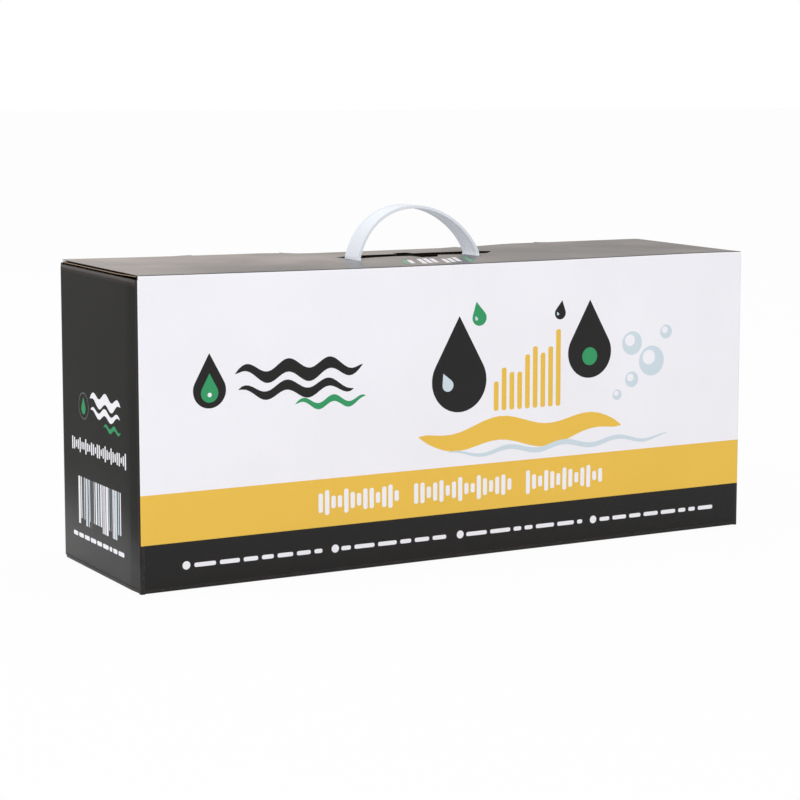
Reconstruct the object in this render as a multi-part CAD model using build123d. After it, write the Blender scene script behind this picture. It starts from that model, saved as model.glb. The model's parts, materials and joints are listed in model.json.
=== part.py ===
from build123d import *
import os
from math import cos, radians, sin, sqrt

# A boxed record washer kit: a carton of corrugated board with a carry handle, and the kit packed inside it.
# Millimetres. The origin is the middle of the underside. +X runs along the carton to its right end, -Y is the
# printed front and +Z is up. Each panel of board between two folds is a node, as are the separate kit pieces.

# Carton
carton_length = 420.0
carton_depth = 118.0
carton_height = 180.0
board = 1.6  # E-flute board
fold_radius = 1.2  # outside of a fold
layer_gap = 0.25  # air between the loose flaps of the lid
cut_gap = 0.5  # from a flap's cut edge in to the carton's outer face
wall_gap = 0.4  # beside a flap that swings between two walls

# Lid flaps
lid_ratio = 0.5  # the inner and dust flaps open through this share of the outer flap's angle
inner_flap_play = 2.6  # short of the length at which it would meet the outer flap on the way up
dust_flap_length = 60.0
dust_flap_play = 0.8
bottom_dust_length = 60.0
tab_width = 60.0
tab_length = 20.0
tab_spacing = 190.0
tab_setback = 2.2  # from the back wall, because the tab swings towards it as the lid opens
tab_slit_play = 1.5
tab_corner = 8.0
glue_tab_width = 35.0
glue_tab_end_gap = 8.0

# Carry handle: a flat strap bent into an arc between two upright legs, its ends locked below the inner flap
strap_width = 20.0
strap_thickness = 2.0
handle_span = 84.5  # between the middles of its legs
handle_rise = 31.0  # above the lid
handle_x = 3.0
handle_y = 7.0
strap_play = 0.6
end_width = 30.0
end_length = 9.0
end_thickness = 2.6
end_gap = 0.3

# Slot in the outer flap
slot_length = 113.0
slot_x = 11.5
slot_front_y = 9.0
slot_back_y = 23.0
slot_tip_y = 19.0
slot_taper = 9.0
thumb_width = 18.0
thumb_depth = 7.0
thumb_x = 12.5
back_relief_width = 11.0
back_relief_depth = 8.0
back_relief_x = 6.5
slot_corner = 1.4

# Record rack
rack_length = 340.0
rack_width = 48.0
rack_base_height = 18.0
rack_wall = 2.4
rack_corner_cut = 12.0
post_pairs = 9
post_pitch = 36.0
post_row_spacing = 28.0
post_height = 96.0
post_foot = (12.0, 8.0)
post_top = (8.0, 5.0)
post_tip_height = 4.0

# Wash basin: it fills what the rack, the bottles and the lid leave of the carton
basin_rack_gap = 4.3
basin_wall_gap = 1.4
basin_bottle_gap = 3.0
lid_headroom = 29.9  # from its rim up to the dust flaps
basin_wall = 2.4
basin_corner = 12.0
basin_draft = 2.0
rim_lip = 2.0
rim_height = 4.0
small_notch_inset = 88.0  # from the basin's end, where the rollers stand for small records
large_notch_inset = 34.0  # and for large ones
notch_depth = 12.0
rail_width = 3.0
rail_gap = 24.0

# Rollers, each spool and its axle in one
axle_diameter = 6.0
axle_play = 0.3
spool_diameter = 24.0
spool_gap = 5.6  # from its ends to the basin's walls
spool_waist = 17.0
spool_waist_length = 12.0
tyre_diameter = 20.0
tyre_groove = 3.0

# Brushes
brush_length = 92.0
brush_back = 4.0
record_gap = 6.0  # between the two piles
brush_pile_margin = 1.5
brush_play = 0.4
brush_ledge = 3.0

# Spray bottles
bottle_diameter = 32.0
bottle_body_height = 78.0
bottle_shoulder_height = 11.0
bottle_wall = 1.0
bottle_gap = 1.8  # to the glue tab
neck_diameter = 18.0
neck_height = 9.0
neck_bore = 14.0
fluid_height = 66.0
fluid_play = 0.2
label_thickness = 0.15
label_low = 16.0
label_height = 46.0
collar_diameter = 22.0
collar_height = 11.0
collar_flange = 26.0
collar_flange_height = 2.4
collar_roof = 1.6
head_diameter = 15.0
head_height = 10.0
head_travel = 3.5
stem_diameter = 6.0
stem_bore_play = 0.3
nozzle_diameter = 4.0
nozzle_length = 2.0
cap_diameter = 25.2
cap_wall = 1.2
cap_headroom = 7.0
cap_play = 0.2

# Paper and cloth
leaflet = (210.0, 0.8, 148.0)
leaflet_play = 0.3
cloth = (150.0, 44.0, 14.0)
cloth_spacing = 164.0
cloth_corner = 5.0

half_length = carton_length / 2
half_depth = carton_depth / 2
outer_top = carton_height
inner_top = outer_top - board - layer_gap
dust_top = inner_top - board - layer_gap
inner_bottom_low = board
floor = 3 * board
inner_flap_length = carton_depth / (1 + lid_ratio) - inner_flap_play
dust_flap_slope = 1 / lid_ratio  # how far the front edge runs along X for each millimetre along Y
leg_x = (handle_x - handle_span / 2, handle_x + handle_span / 2)
tab_x = (-tab_spacing / 2, tab_spacing / 2)
tab_back = half_depth - board - tab_setback  # the tab's outer face

bottle_x = half_length - 2 * board - bottle_gap - bottle_diameter / 2
rack_front = -half_depth + board + leaflet[1] + leaflet_play
rack_y = rack_front + rack_width / 2
basin_front = rack_front + rack_width + basin_rack_gap  # its lip's outer edges
basin_back = half_depth - board - basin_wall_gap
basin_end = bottle_x - bottle_diameter / 2 - basin_bottle_gap
basin_y = (basin_front + basin_back) / 2
basin_width = basin_back - basin_front - 2 * rim_lip
basin_length = 2 * (basin_end - rim_lip)
basin_height = dust_top - board - lid_headroom - floor
notch_positions = (basin_length / 2 - small_notch_inset, basin_length / 2 - large_notch_inset)
spool_length = basin_width - 2 * basin_wall - 2 * spool_gap

# Each side of the carton: the way in from it, how far out it stands, and its width
sides = {
    "front": (Vector(0, 1, 0), half_depth, carton_length),
    "back": (Vector(0, -1, 0), half_depth, carton_length),
    "left": (Vector(1, 0, 0), half_length, carton_depth),
    "right": (Vector(-1, 0, 0), half_length, carton_depth),
}
up = Vector(0, 0, 1)


def save(name, shape):
    """Write one sub-part, a single solid or a group of like ones."""
    solids = shape if isinstance(shape, list) else [shape]
    export_step(solids[0] if len(solids) == 1 else Compound(children=solids), f"parts/{name}.step")


def block(low, high):
    """A box between two corners."""
    size = [b - a for a, b in zip(low, high)]
    middle = [(a + b) / 2 for a, b in zip(low, high)]
    return Pos(*middle) * Box(*size)


def wall(side, bottom, top):
    """A wall of board between two levels, mitred on its four edges and rounded outside at its folds."""
    inward, reach, width = sides[side]
    height = top - bottom
    sheet = extrude(Rectangle(width, height), amount=board, taper=45)
    rounding = Pos(0, 0, reach / 2) * Box(width, height, reach)
    rounding = fillet(rounding.faces().sort_by(Axis.Z)[0].edges(), fold_radius)
    origin = inward * -reach + up * ((top + bottom) / 2)
    return Plane(origin=origin, x_dir=up.cross(inward), z_dir=inward) * (sheet & rounding)


def flap(side, level, outline, opens_up=True):
    """A flap folded in from a wall: the outline has X along the fold and Y into the carton."""
    inward, reach, _ = sides[side]
    outward = up if opens_up else -up
    long = outline.bounding_box().max.Y + board
    wide = outline.bounding_box().size.X + 2 * board
    bend = fold_radius * (1 - sqrt(0.5))
    mid = fold_radius * (1 - sin(radians(22.5))), -fold_radius * (1 - cos(radians(22.5)))
    edge = Line((fold_radius, 0), (long, 0)) + Line((long, 0), (long, -board))
    edge += Line((long, -board), (board, -board)) + Line((board, -board), (bend, -bend))
    edge += ThreePointArc((bend, -bend), mid, (fold_radius, 0))
    section = extrude(Plane.YZ * make_face(edge), amount=wide / 2, both=True)
    sheet = extrude(outline, amount=-board) & section
    origin = inward * -reach + up * level
    return Plane(origin=origin, x_dir=inward.cross(outward), z_dir=outward) * sheet


def poly(*points):
    """A flat outline through the points."""
    return make_face(Polyline(*points, close=True))


def straight_outline(half_width, length):
    """The outline of a rectangular flap."""
    return poly((-half_width, 0), (half_width, 0), (half_width, length), (-half_width, length))


# Walls and floor ------------------------------------------------------------------------------------------

save("front_panel", wall("front", 0, outer_top))
save("back_panel", wall("back", inner_bottom_low, inner_top))
save("left_panel", wall("left", 0, dust_top))
save("right_panel", wall("right", 0, dust_top))

glue_tab_top = dust_top - board - glue_tab_end_gap
save(
    "glue_tab",
    block(
        (-half_length + board, half_depth - board - glue_tab_width, floor + glue_tab_end_gap),
        (-half_length + 2 * board, half_depth - board, glue_tab_top),
    ),
)

# The end walls reach the ground, so the long flaps of the floor lie between them
bottom_outline = straight_outline(half_length - board - wall_gap, carton_depth - board - wall_gap)
save("bottom_flap_outer", flap("front", 0, bottom_outline, opens_up=False))
save("bottom_flap_inner", flap("back", inner_bottom_low, bottom_outline, opens_up=False))
end_half = half_depth - board - wall_gap
for end, sign in (("left", -1), ("right", 1)):
    flap_x = sorted((sign * (half_length - board), sign * (half_length - bottom_dust_length)))
    save(f"bottom_flap_{end}", block((flap_x[0], -end_half, floor - board), (flap_x[1], end_half, floor)))


# Lid --------------------------------------------------------------------------------------------------------


def slot_outline():
    """The handle slot, in the outer flap's own outline: tapered tips, a thumb cut and a relief behind it."""
    left = slot_x - slot_length / 2
    right = slot_x + slot_length / 2
    hexagon = poly(
        (left, slot_tip_y),
        (left + slot_taper, slot_front_y),
        (right - slot_taper, slot_front_y),
        (right, slot_tip_y),
        (right - slot_taper, slot_back_y),
        (left + slot_taper, slot_back_y),
    )
    slot = fillet(hexagon.vertices(), slot_corner)
    middle = (slot_front_y + slot_back_y) / 2
    leg_front = handle_y - strap_width / 2 - strap_play
    leg_window = strap_thickness + 4 * strap_play
    cuts = [(x, leg_window, leg_front) for x in leg_x]
    cuts += [
        (thumb_x, thumb_width, slot_front_y - thumb_depth),
        (back_relief_x, back_relief_width, slot_back_y + back_relief_depth),
    ]
    for x, width, edge in cuts:
        cut = Pos(x, (middle + edge) / 2) * Rectangle(width, abs(middle - edge))
        slot += fillet(cut.vertices(), slot_corner)
    return Pos(0, half_depth) * slot


full_half = half_length - cut_gap
lid_length = carton_depth - cut_gap
tab_root = half_depth + tab_back
outer = straight_outline(full_half, lid_length) - slot_outline()
for x in tab_x:
    notch = Rectangle(tab_width + 2 * cut_gap, carton_depth - tab_root)
    outer -= Pos(x, (tab_root + carton_depth) / 2) * notch
save("outer_flap", flap("front", outer_top, outer))

for name, x in zip(("tuck_tab_left", "tuck_tab_right"), tab_x):
    tab = block(
        (x - tab_width / 2, tab_back - board, outer_top - board - tab_length),
        (x + tab_width / 2, tab_back, outer_top - board),
    )
    lower = tab.edges().filter_by(Axis.Y).group_by(Axis.Z)[0]
    save(name, fillet(lower, tab_corner))

inner = straight_outline(full_half, inner_flap_length)
slit_depth = half_depth - tab_back + board + 2 * wall_gap
for x in tab_x:
    inner -= Pos(x, slit_depth / 2) * Rectangle(tab_width + 2 * tab_slit_play, slit_depth)
for x in leg_x:
    # the back wall's flap has its own X turned the other way
    slit = Rectangle(strap_thickness + strap_play, strap_width + 2 * strap_play)
    inner -= Pos(-x, half_depth - handle_y) * slit
save("inner_flap", flap("back", inner_top, inner))


def dust_outline(front_sign):
    """A dust flap that clears the inner flap behind it and the outer flap in front of it at every angle."""
    length = dust_flap_length
    root_front = board + wall_gap
    front_at_root = root_front * dust_flap_slope - dust_flap_play
    front_at_tip = (length + dust_flap_play) / dust_flap_slope
    back_at_root = board + wall_gap
    back_at_tip = length + dust_flap_play
    points = [
        (half_depth - root_front, 0),
        (half_depth - root_front, front_at_root),
        (half_depth - front_at_tip, length),
        (-half_depth + back_at_tip, length),
        (-half_depth + back_at_root, back_at_root - dust_flap_play),
        (-half_depth + back_at_root, 0),
    ]
    return poly(*[(front_sign * x, y) for x, y in points])


# On the left wall's flap +X of the outline points to the front, and on the right wall's to the back
save("dust_flap_left", flap("left", dust_top, dust_outline(1)))
save("dust_flap_right", flap("right", dust_top, dust_outline(-1)))

# Handle -----------------------------------------------------------------------------------------------------

half_strap = strap_thickness / 2
arch_rise = handle_rise - half_strap
arch_radius = (handle_span**2 / 4 + arch_rise**2) / (2 * arch_rise)
arch_centre = arch_rise - arch_radius
leg_bottom = inner_top - board - end_gap
leg_foot = leg_bottom - outer_top


def arch_side(offset):
    """Half the span, the level where leg and arc meet, and the top, this far outside the strap's middle."""
    half_span = handle_span / 2 + offset
    radius = arch_radius + offset
    return half_span, arch_centre + sqrt(radius**2 - half_span**2), arch_centre + radius


outer_span, outer_spring, outer_crown = arch_side(half_strap)
inner_span, inner_spring, inner_crown = arch_side(-half_strap)
strap_side = Polyline(
    (-inner_span, inner_spring), (-inner_span, leg_foot), (-outer_span, leg_foot), (-outer_span, outer_spring)
)
strap_outline = strap_side + ThreePointArc(
    (-outer_span, outer_spring), (0, outer_crown), (outer_span, outer_spring)
)
strap_outline += mirror(strap_side, Plane.YZ)
strap_outline += ThreePointArc((inner_span, inner_spring), (0, inner_crown), (-inner_span, inner_spring))
strap = extrude(Plane.XZ * make_face(strap_outline), amount=strap_width / 2, both=True)
save("carry_handle", Pos(handle_x, handle_y, outer_top) * strap)

for name, x in zip(("handle_end_left", "handle_end_right"), leg_x):
    end = Pos(x, handle_y, leg_bottom - end_thickness / 2) * Box(end_length, end_width, end_thickness)
    save(name, fillet(end.edges().filter_by(Axis.Z), end_length / 4))

# Rack -------------------------------------------------------------------------------------------------------

rack_top = floor + rack_base_height
base_plan = chamfer(Rectangle(rack_length, rack_width).vertices(), rack_corner_cut)
hollow_plan = offset(base_plan, -rack_wall, kind=Kind.INTERSECTION)
rack = Pos(0, rack_y, floor) * extrude(base_plan, amount=rack_base_height)
rack -= Pos(0, rack_y, floor) * extrude(hollow_plan, amount=rack_base_height - rack_wall)
save("rack_base", rack)


def tapered_post(foot, top, height):
    """A post with a rectangular foot and a smaller top."""
    return loft([Rectangle(*foot), Pos(0, 0, height) * Rectangle(*top)], ruled=True)


post_x = [(i - (post_pairs - 1) / 2) * post_pitch for i in range(post_pairs)]
shaft = post_height - post_tip_height
share = shaft / post_height
post_neck = [a + (b - a) * share for a, b in zip(post_foot, post_top)]
tips = []
for name, side in (("rack_posts_front", -1), ("rack_posts_back", 1)):
    places = [Pos(x, rack_y + side * post_row_spacing / 2, rack_top) for x in post_x]
    save(name, [place * tapered_post(post_foot, post_neck, shaft) for place in places])
    tip = Pos(0, 0, shaft) * tapered_post(post_neck, post_top, post_tip_height)
    tips += [place * tip for place in places]
save("rack_post_tips", tips)

# Basin ------------------------------------------------------------------------------------------------------

basin_top = floor + basin_height
shrink = 2 * basin_height * sin(radians(basin_draft))
foot_plan = RectangleRounded(basin_length - shrink, basin_width - shrink, basin_corner - shrink / 2)
shell = extrude(foot_plan, amount=basin_height, taper=-basin_draft)
lip = RectangleRounded(basin_length + 2 * rim_lip, basin_width + 2 * rim_lip, basin_corner + rim_lip)
shell += Pos(0, 0, basin_height - rim_height) * extrude(lip, amount=rim_height)
cavity_plan = offset(foot_plan, -basin_wall)
cavity = Pos(0, 0, basin_wall) * extrude(cavity_plan, amount=basin_height, taper=-basin_draft)
shell -= cavity
# the brushes stand upright between rails, so the wall's draft sets how far in their feet are
brush_outer = basin_width / 2 - basin_wall - brush_length * sin(radians(basin_draft)) - brush_play
brush_inner = brush_outer - brush_back
brush_pile = brush_inner - record_gap / 2
full_shape = extrude(foot_plan, amount=basin_height, taper=-basin_draft)
brush_low = basin_height - brush_length
for side in (-1, 1):
    for edge in (-1, 1):
        near = edge * rail_gap / 2
        far = edge * (rail_gap / 2 + rail_width)
        rail = block(
            (min(near, far), min(side * brush_inner, side * basin_width), brush_low - brush_ledge),
            (max(near, far), max(side * brush_inner, side * basin_width), basin_height),
        )
        shell += rail & full_shape
    ledge = block(
        (-rail_gap / 2, min(side * brush_inner, side * basin_width), brush_low - brush_ledge),
        (rail_gap / 2, max(side * brush_inner, side * basin_width), brush_low),
    )
    shell += ledge & full_shape
for x in notch_positions:
    for side in (-1, 1):
        width = axle_diameter + 2 * axle_play
        notch = block(
            (side * x - width / 2, -basin_width, basin_height - notch_depth + width / 2),
            (side * x + width / 2, basin_width, basin_height + 1),
        )
        seat = Pos(side * x, 0, basin_height - notch_depth + width / 2) * Rot(90, 0, 0)
        shell -= notch
        shell -= seat * Cylinder(width / 2, 2 * basin_width)
save("wash_basin", Pos(0, basin_y, floor) * shell)

# Rollers ----------------------------------------------------------------------------------------------------

axle_z = basin_top - notch_depth + axle_play + axle_diameter / 2
r_spool, r_waist, r_axle = spool_diameter / 2, spool_waist / 2, axle_diameter / 2
half_spool, half_waist, half_tyre = spool_length / 2, spool_waist_length / 2, tyre_groove / 2
axle_end = basin_width / 2
spool_profile = poly(
    (0, -axle_end),
    (r_axle, -axle_end),
    (r_axle, -half_spool),
    (r_spool, -half_spool),
    (r_spool, -half_waist),
    (r_waist, -half_tyre),
    (r_waist, half_tyre),
    (r_spool, half_waist),
    (r_spool, half_spool),
    (r_axle, half_spool),
    (r_axle, axle_end),
    (0, axle_end),
)
slope = (r_spool - r_waist) / (half_waist - half_tyre)
r_tyre = tyre_diameter / 2
tyre_edge = half_tyre + (r_tyre - r_waist) / slope
tyre_profile = poly((r_waist, -half_tyre), (r_tyre, -tyre_edge), (r_tyre, tyre_edge), (r_waist, half_tyre))
for end, sign in (("left", -1), ("right", 1)):
    place = Pos(sign * notch_positions[-1], basin_y, axle_z)
    # the profiles have the axle along Y already
    save(f"roller_{end}", place * revolve(spool_profile, Axis.Y))
    save(f"roller_tyre_{end}", place * revolve(tyre_profile, Axis.Y))

# Brushes, standing in the basin's rails with their pile towards each other ---------------------------------

brush_middle = basin_top - brush_length / 2
for name, side in (("front", -1), ("back", 1)):
    back_y = basin_y + side * (brush_outer - brush_back / 2)
    back = Pos(0, back_y, brush_middle) * Box(rail_gap - 2 * brush_play, brush_back, brush_length)
    save(f"brush_back_{name}", back)
    pile_y = basin_y + side * (brush_inner - brush_pile / 2)
    pile_size = rail_gap - 2 * brush_pile_margin, brush_pile, brush_length - 2 * brush_pile_margin
    save(f"brush_pile_{name}", Pos(0, pile_y, brush_middle) * Box(*pile_size))

# Bottles ----------------------------------------------------------------------------------------------------

r_bottle, r_neck = bottle_diameter / 2, neck_diameter / 2
shoulder_top = bottle_body_height + bottle_shoulder_height
mouth = shoulder_top + neck_height
r_inside = r_bottle - bottle_wall
r_mouth = neck_bore / 2
bottle_profile = poly(
    (0, 0),
    (r_bottle, 0),
    (r_bottle, bottle_body_height),
    (r_neck, shoulder_top),
    (r_neck, mouth),
    (r_mouth, mouth),
    (r_mouth, shoulder_top - bottle_wall),
    (r_inside, bottle_body_height - bottle_wall),
    (r_inside, bottle_wall),
    (0, bottle_wall),
)
r_fluid = r_inside - fluid_play
fluid_profile = poly((0, bottle_wall), (r_fluid, bottle_wall), (r_fluid, fluid_height), (0, fluid_height))
label_profile = poly(
    (r_bottle, label_low),
    (r_bottle + label_thickness, label_low),
    (r_bottle + label_thickness, label_low + label_height),
    (r_bottle, label_low + label_height),
)
r_collar, r_flange, r_stem = collar_diameter / 2, collar_flange / 2, stem_diameter / 2
collar_low = shoulder_top
flange_top = collar_low + collar_flange_height
collar_top = collar_low + collar_height
r_stem_hole = r_stem + stem_bore_play
collar_profile = poly(
    (r_neck, collar_low),
    (r_flange, collar_low),
    (r_flange, flange_top),
    (r_collar, flange_top),
    (r_collar, collar_top),
    (r_stem_hole, collar_top),
    (r_stem_hole, collar_top - collar_roof),
    (r_neck, collar_top - collar_roof),
)
head_low = collar_top + head_travel + stem_bore_play
head_top = head_low + head_height
stem_low = collar_top - collar_roof - head_travel
cap_top = head_top + cap_headroom
r_cap, r_cap_inside = cap_diameter / 2, cap_diameter / 2 - cap_wall
cap_profile = poly(
    (r_cap_inside, flange_top + cap_play),
    (r_cap, flange_top + cap_play),
    (r_cap, cap_top),
    (0, cap_top),
    (0, cap_top - cap_wall),
    (r_cap_inside, cap_top - cap_wall),
)


def turned(profile):
    """A profile drawn with radius along X and height along Y, turned about Z."""
    return revolve(Plane.XZ * profile, Axis.Z)


head = Pos(0, 0, head_low + head_height / 2) * Cylinder(head_diameter / 2, head_height)
head = fillet(head.edges().group_by(Axis.Z)[-1], head_diameter / 10)
head += Pos(0, 0, (stem_low + head_low) / 2) * Cylinder(r_stem, head_low - stem_low)
nozzle = Pos(0, -head_diameter / 2, head_low + head_height / 2) * Rot(90, 0, 0)
head += nozzle * Cylinder(nozzle_diameter / 2, 2 * nozzle_length)
for end, sign in (("left", -1), ("right", 1)):
    place = Pos(sign * bottle_x, basin_y, floor)
    save(f"bottle_{end}", place * turned(bottle_profile))
    save(f"fluid_{end}", place * turned(fluid_profile))
    save(f"bottle_label_{end}", place * turned(label_profile))
    save(f"pump_collar_{end}", place * turned(collar_profile))
    save(f"spray_head_{end}", place * head)
    save(f"bottle_cap_{end}", place * turned(cap_profile))

# Cloths and leaflet -----------------------------------------------------------------------------------------

cloth_low = rack_top + post_height
for end, sign in (("left", -1), ("right", 1)):
    pad = Pos(sign * cloth_spacing / 2, rack_y, cloth_low + cloth[2] / 2) * Box(*cloth)
    save(f"cloth_{end}", fillet(pad.edges().filter_by(Axis.Z), cloth_corner))

leaflet_y = -half_depth + board + leaflet[1] / 2
save("leaflet", Pos(0, leaflet_y, 2 * board + leaflet[2] / 2) * Box(*leaflet))
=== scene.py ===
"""Everything is drawn in millimetres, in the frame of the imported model, and scaled to metres as a piece is made.
"""
import json
import random
from math import acos, cos, hypot, pi, radians, sin, sqrt, tan, tau

import bmesh
import bpy
import numpy as np
from mathutils import Euler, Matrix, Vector
from mathutils.geometry import delaunay_2d_cdt


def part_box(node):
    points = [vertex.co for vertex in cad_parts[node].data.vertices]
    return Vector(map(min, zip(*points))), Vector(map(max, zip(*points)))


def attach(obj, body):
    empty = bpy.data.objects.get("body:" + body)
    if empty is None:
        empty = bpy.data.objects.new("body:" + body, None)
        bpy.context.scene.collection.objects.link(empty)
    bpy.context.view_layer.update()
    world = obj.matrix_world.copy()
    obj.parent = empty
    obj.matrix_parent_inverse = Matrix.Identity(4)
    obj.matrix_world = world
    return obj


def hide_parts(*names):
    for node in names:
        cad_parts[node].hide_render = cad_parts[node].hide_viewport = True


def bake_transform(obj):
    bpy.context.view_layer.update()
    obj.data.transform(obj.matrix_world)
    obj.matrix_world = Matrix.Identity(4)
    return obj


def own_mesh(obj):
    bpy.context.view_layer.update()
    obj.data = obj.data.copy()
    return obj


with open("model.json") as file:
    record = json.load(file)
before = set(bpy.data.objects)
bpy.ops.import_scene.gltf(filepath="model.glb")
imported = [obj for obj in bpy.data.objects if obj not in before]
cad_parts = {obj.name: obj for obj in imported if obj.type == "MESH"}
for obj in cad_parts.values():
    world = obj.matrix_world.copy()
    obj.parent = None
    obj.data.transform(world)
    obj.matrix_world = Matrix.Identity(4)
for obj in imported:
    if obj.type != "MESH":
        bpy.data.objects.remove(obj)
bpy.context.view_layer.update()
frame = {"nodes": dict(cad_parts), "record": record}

MM = 0.001


def node_box(node):
    """The lowest and highest corners of a CAD node, in millimetres."""
    low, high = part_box(node)
    return Vector(low) / MM, Vector(high) / MM


def hinge(joint):
    """Where a joint's axis stands, in millimetres."""
    found = next(j for j in frame["record"]["behaviour"]["joints"] if j["name"] == joint)
    return Vector(found["pos_m"]) / MM


# Sizes of the carton, from the frame
front_low, front_high = node_box("front_panel")
lid_low, lid_high = node_box("outer_flap")
inner_low, inner_high = node_box("inner_flap")
glue_low, glue_high = node_box("glue_tab")

HALF_LENGTH = -hinge("dust_flap_left_hinge").x
HALF_DEPTH = -hinge("outer_flap_hinge").y
HEIGHT = hinge("outer_flap_hinge").z
INNER_TOP = hinge("inner_flap_hinge").z
DUST_TOP = hinge("dust_flap_left_hinge").z
BACK_FOOT = node_box("back_panel")[0].z
END_FOOT = node_box("left_panel")[0].z
BOARD = front_high.y - front_low.y
WALL_HEIGHTS = {"front": (0.0, HEIGHT), "back": (BACK_FOOT, INNER_TOP)}  # of their lower and upper folds

# Board: two liners and a fluted medium
LINER = 0.33
MEDIUM = 0.16
FLUTE_PITCH = 3.3
FLUTE_STEPS = 6
FLUTE_RECESS = 2.4  # the paper between the liners is crushed back this far along a cut beside a flute
CUT_RECESS = 1.2  # and this far where the flutes are cut across
FOLD_RADIUS = 1.2
FOLD_REACH = 2.5  # from a fold to where the flat board begins
FOLD_CREST = 1.0  # by which the folds of the end flaps bulge up
FOLD_START = 1.1  # the board's thickness where a fold begins
CRUSHED = 0.8  # and at the middle of the fold
FLOOR_RAMP = 8.0  # over which an end flap of the floor climbs onto the long flaps
GRID = 12.0  # between the points of a flat panel

# Bands of the printed front, above the underside
BLACK_TOP = 27.7
YELLOW_TOP = 56.2

# How the folded board has settled
LID_SAG = 1.2  # at the middle of the lid's front fold
LID_SAG_DEPTH = 45.0  # how far back from that fold it is gone
LID_SAG_HEIGHT = 60.0  # and how far down the wall
SAG_LEVEL = 50.0  # how far from the middle the front fold stays at its lowest
SAG_CURVE = 1.3  # how late it rises towards the ends
SAG_EASE = {-1: 1.3, 1: 0.85}  # how much less it sags at its left and right ends
LID_ROLL = 0.36  # by which the lid rolls down to its front fold
LID_ROLL_DEPTH = 11.0  # over which it does
MIDDLE_PRESS = 1.15  # by which the lid's middle has been pressed down, and the wall behind it
MIDDLE = 12.0  # how far to the right of the carton's centre the press is deepest
MIDDLE_REACH = (50.0, 95.0)  # from the middle: where this begins to fade, and where it is gone
END_DROOP = 1.43  # by which the lid's right end slopes down to the front
DROOP_DEPTH = 1.75  # half depths from the back fold to the foot of that slope
DROOP_CURVE = 8  # how close to the right end it begins
BACK_LIFT = 1.2  # by which the back left corner stands up
LIFT_START = 0.3  # of the half length: where the lid begins to stand up towards the left
LIFT_CURVE = 1.6
SLOT_LIFT = 0.3  # by which the handle has pulled up the far lip of its slot
SLOT_LIFT_DEPTH = 32.0  # how far behind the slot that is gone
TAB_CREST = 0.4  # by which the lid bulges over the fold of a tuck tab
TAB_CREST_DEPTH = 12.0  # how far from the fold the bulge is gone
PRINT_BLEED = 14.0  # how far the print of an end wall runs on over its flap
CREASE_INSET = 12.5  # from the front to the crease of an end wall
CREASE_EDGES = (-0.8, 0.8)  # across the crease
CREASE_TURN = 0.9  # by which the wall turns in from the crease to the corner
CREASE_START = 0.9  # of the half length: where the panels above begin to follow that turn


def clamp(value, low=0.0):
    """A value kept between a lower limit and 1."""
    return max(low, min(1.0, value))


def smooth(value):
    """0 to 1 with level ends."""
    t = clamp(value)
    return t * t * (3 - 2 * t)


def settle(point):
    """Where a point of the folded carton has come to rest.

    The lid is pressed down at its middle, rolls down to its sagging front fold, stands up at its back left
    corner and slopes at its right end, and the end walls turn in by the front.
    """
    x, y, z = point
    side = 1 if x > 0 else -1
    front = smooth(1 - (y + HALF_DEPTH) / LID_SAG_DEPTH)
    top = smooth(1 - (HEIGHT - z) / LID_SAG_HEIGHT)
    to_end = clamp((abs(x) - SAG_LEVEL) / (HALF_LENGTH - SAG_LEVEL)) ** SAG_CURVE
    level, gone = MIDDLE_REACH
    middle = MIDDLE_PRESS * smooth((gone - abs(x - MIDDLE)) / (gone - level))
    drop = middle + (LID_SAG - SAG_EASE[side] * to_end - middle) * front
    drop += LID_ROLL * smooth(1 - (y + HALF_DEPTH) / LID_ROLL_DEPTH)
    right_end = clamp(x / HALF_LENGTH) ** DROOP_CURVE
    drop += (END_DROOP * clamp((HALF_DEPTH - y) / (DROOP_DEPTH * HALF_DEPTH)) - drop) * right_end
    to_left = clamp((-x / HALF_LENGTH - LIFT_START) / (1 - LIFT_START)) ** LIFT_CURVE
    drop -= BACK_LIFT * to_left * clamp((y + HALF_DEPTH) / (2 * HALF_DEPTH))
    near_end = smooth((abs(x) / HALF_LENGTH - CREASE_START) / (1 - CREASE_START))
    turn = clamp((CREASE_INSET - (y + HALF_DEPTH)) / CREASE_INSET)
    return Vector((x - side * CREASE_TURN * turn * near_end, y, z - drop * top))


# Meshes ---------------------------------------------------------------------------------------------------


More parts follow.
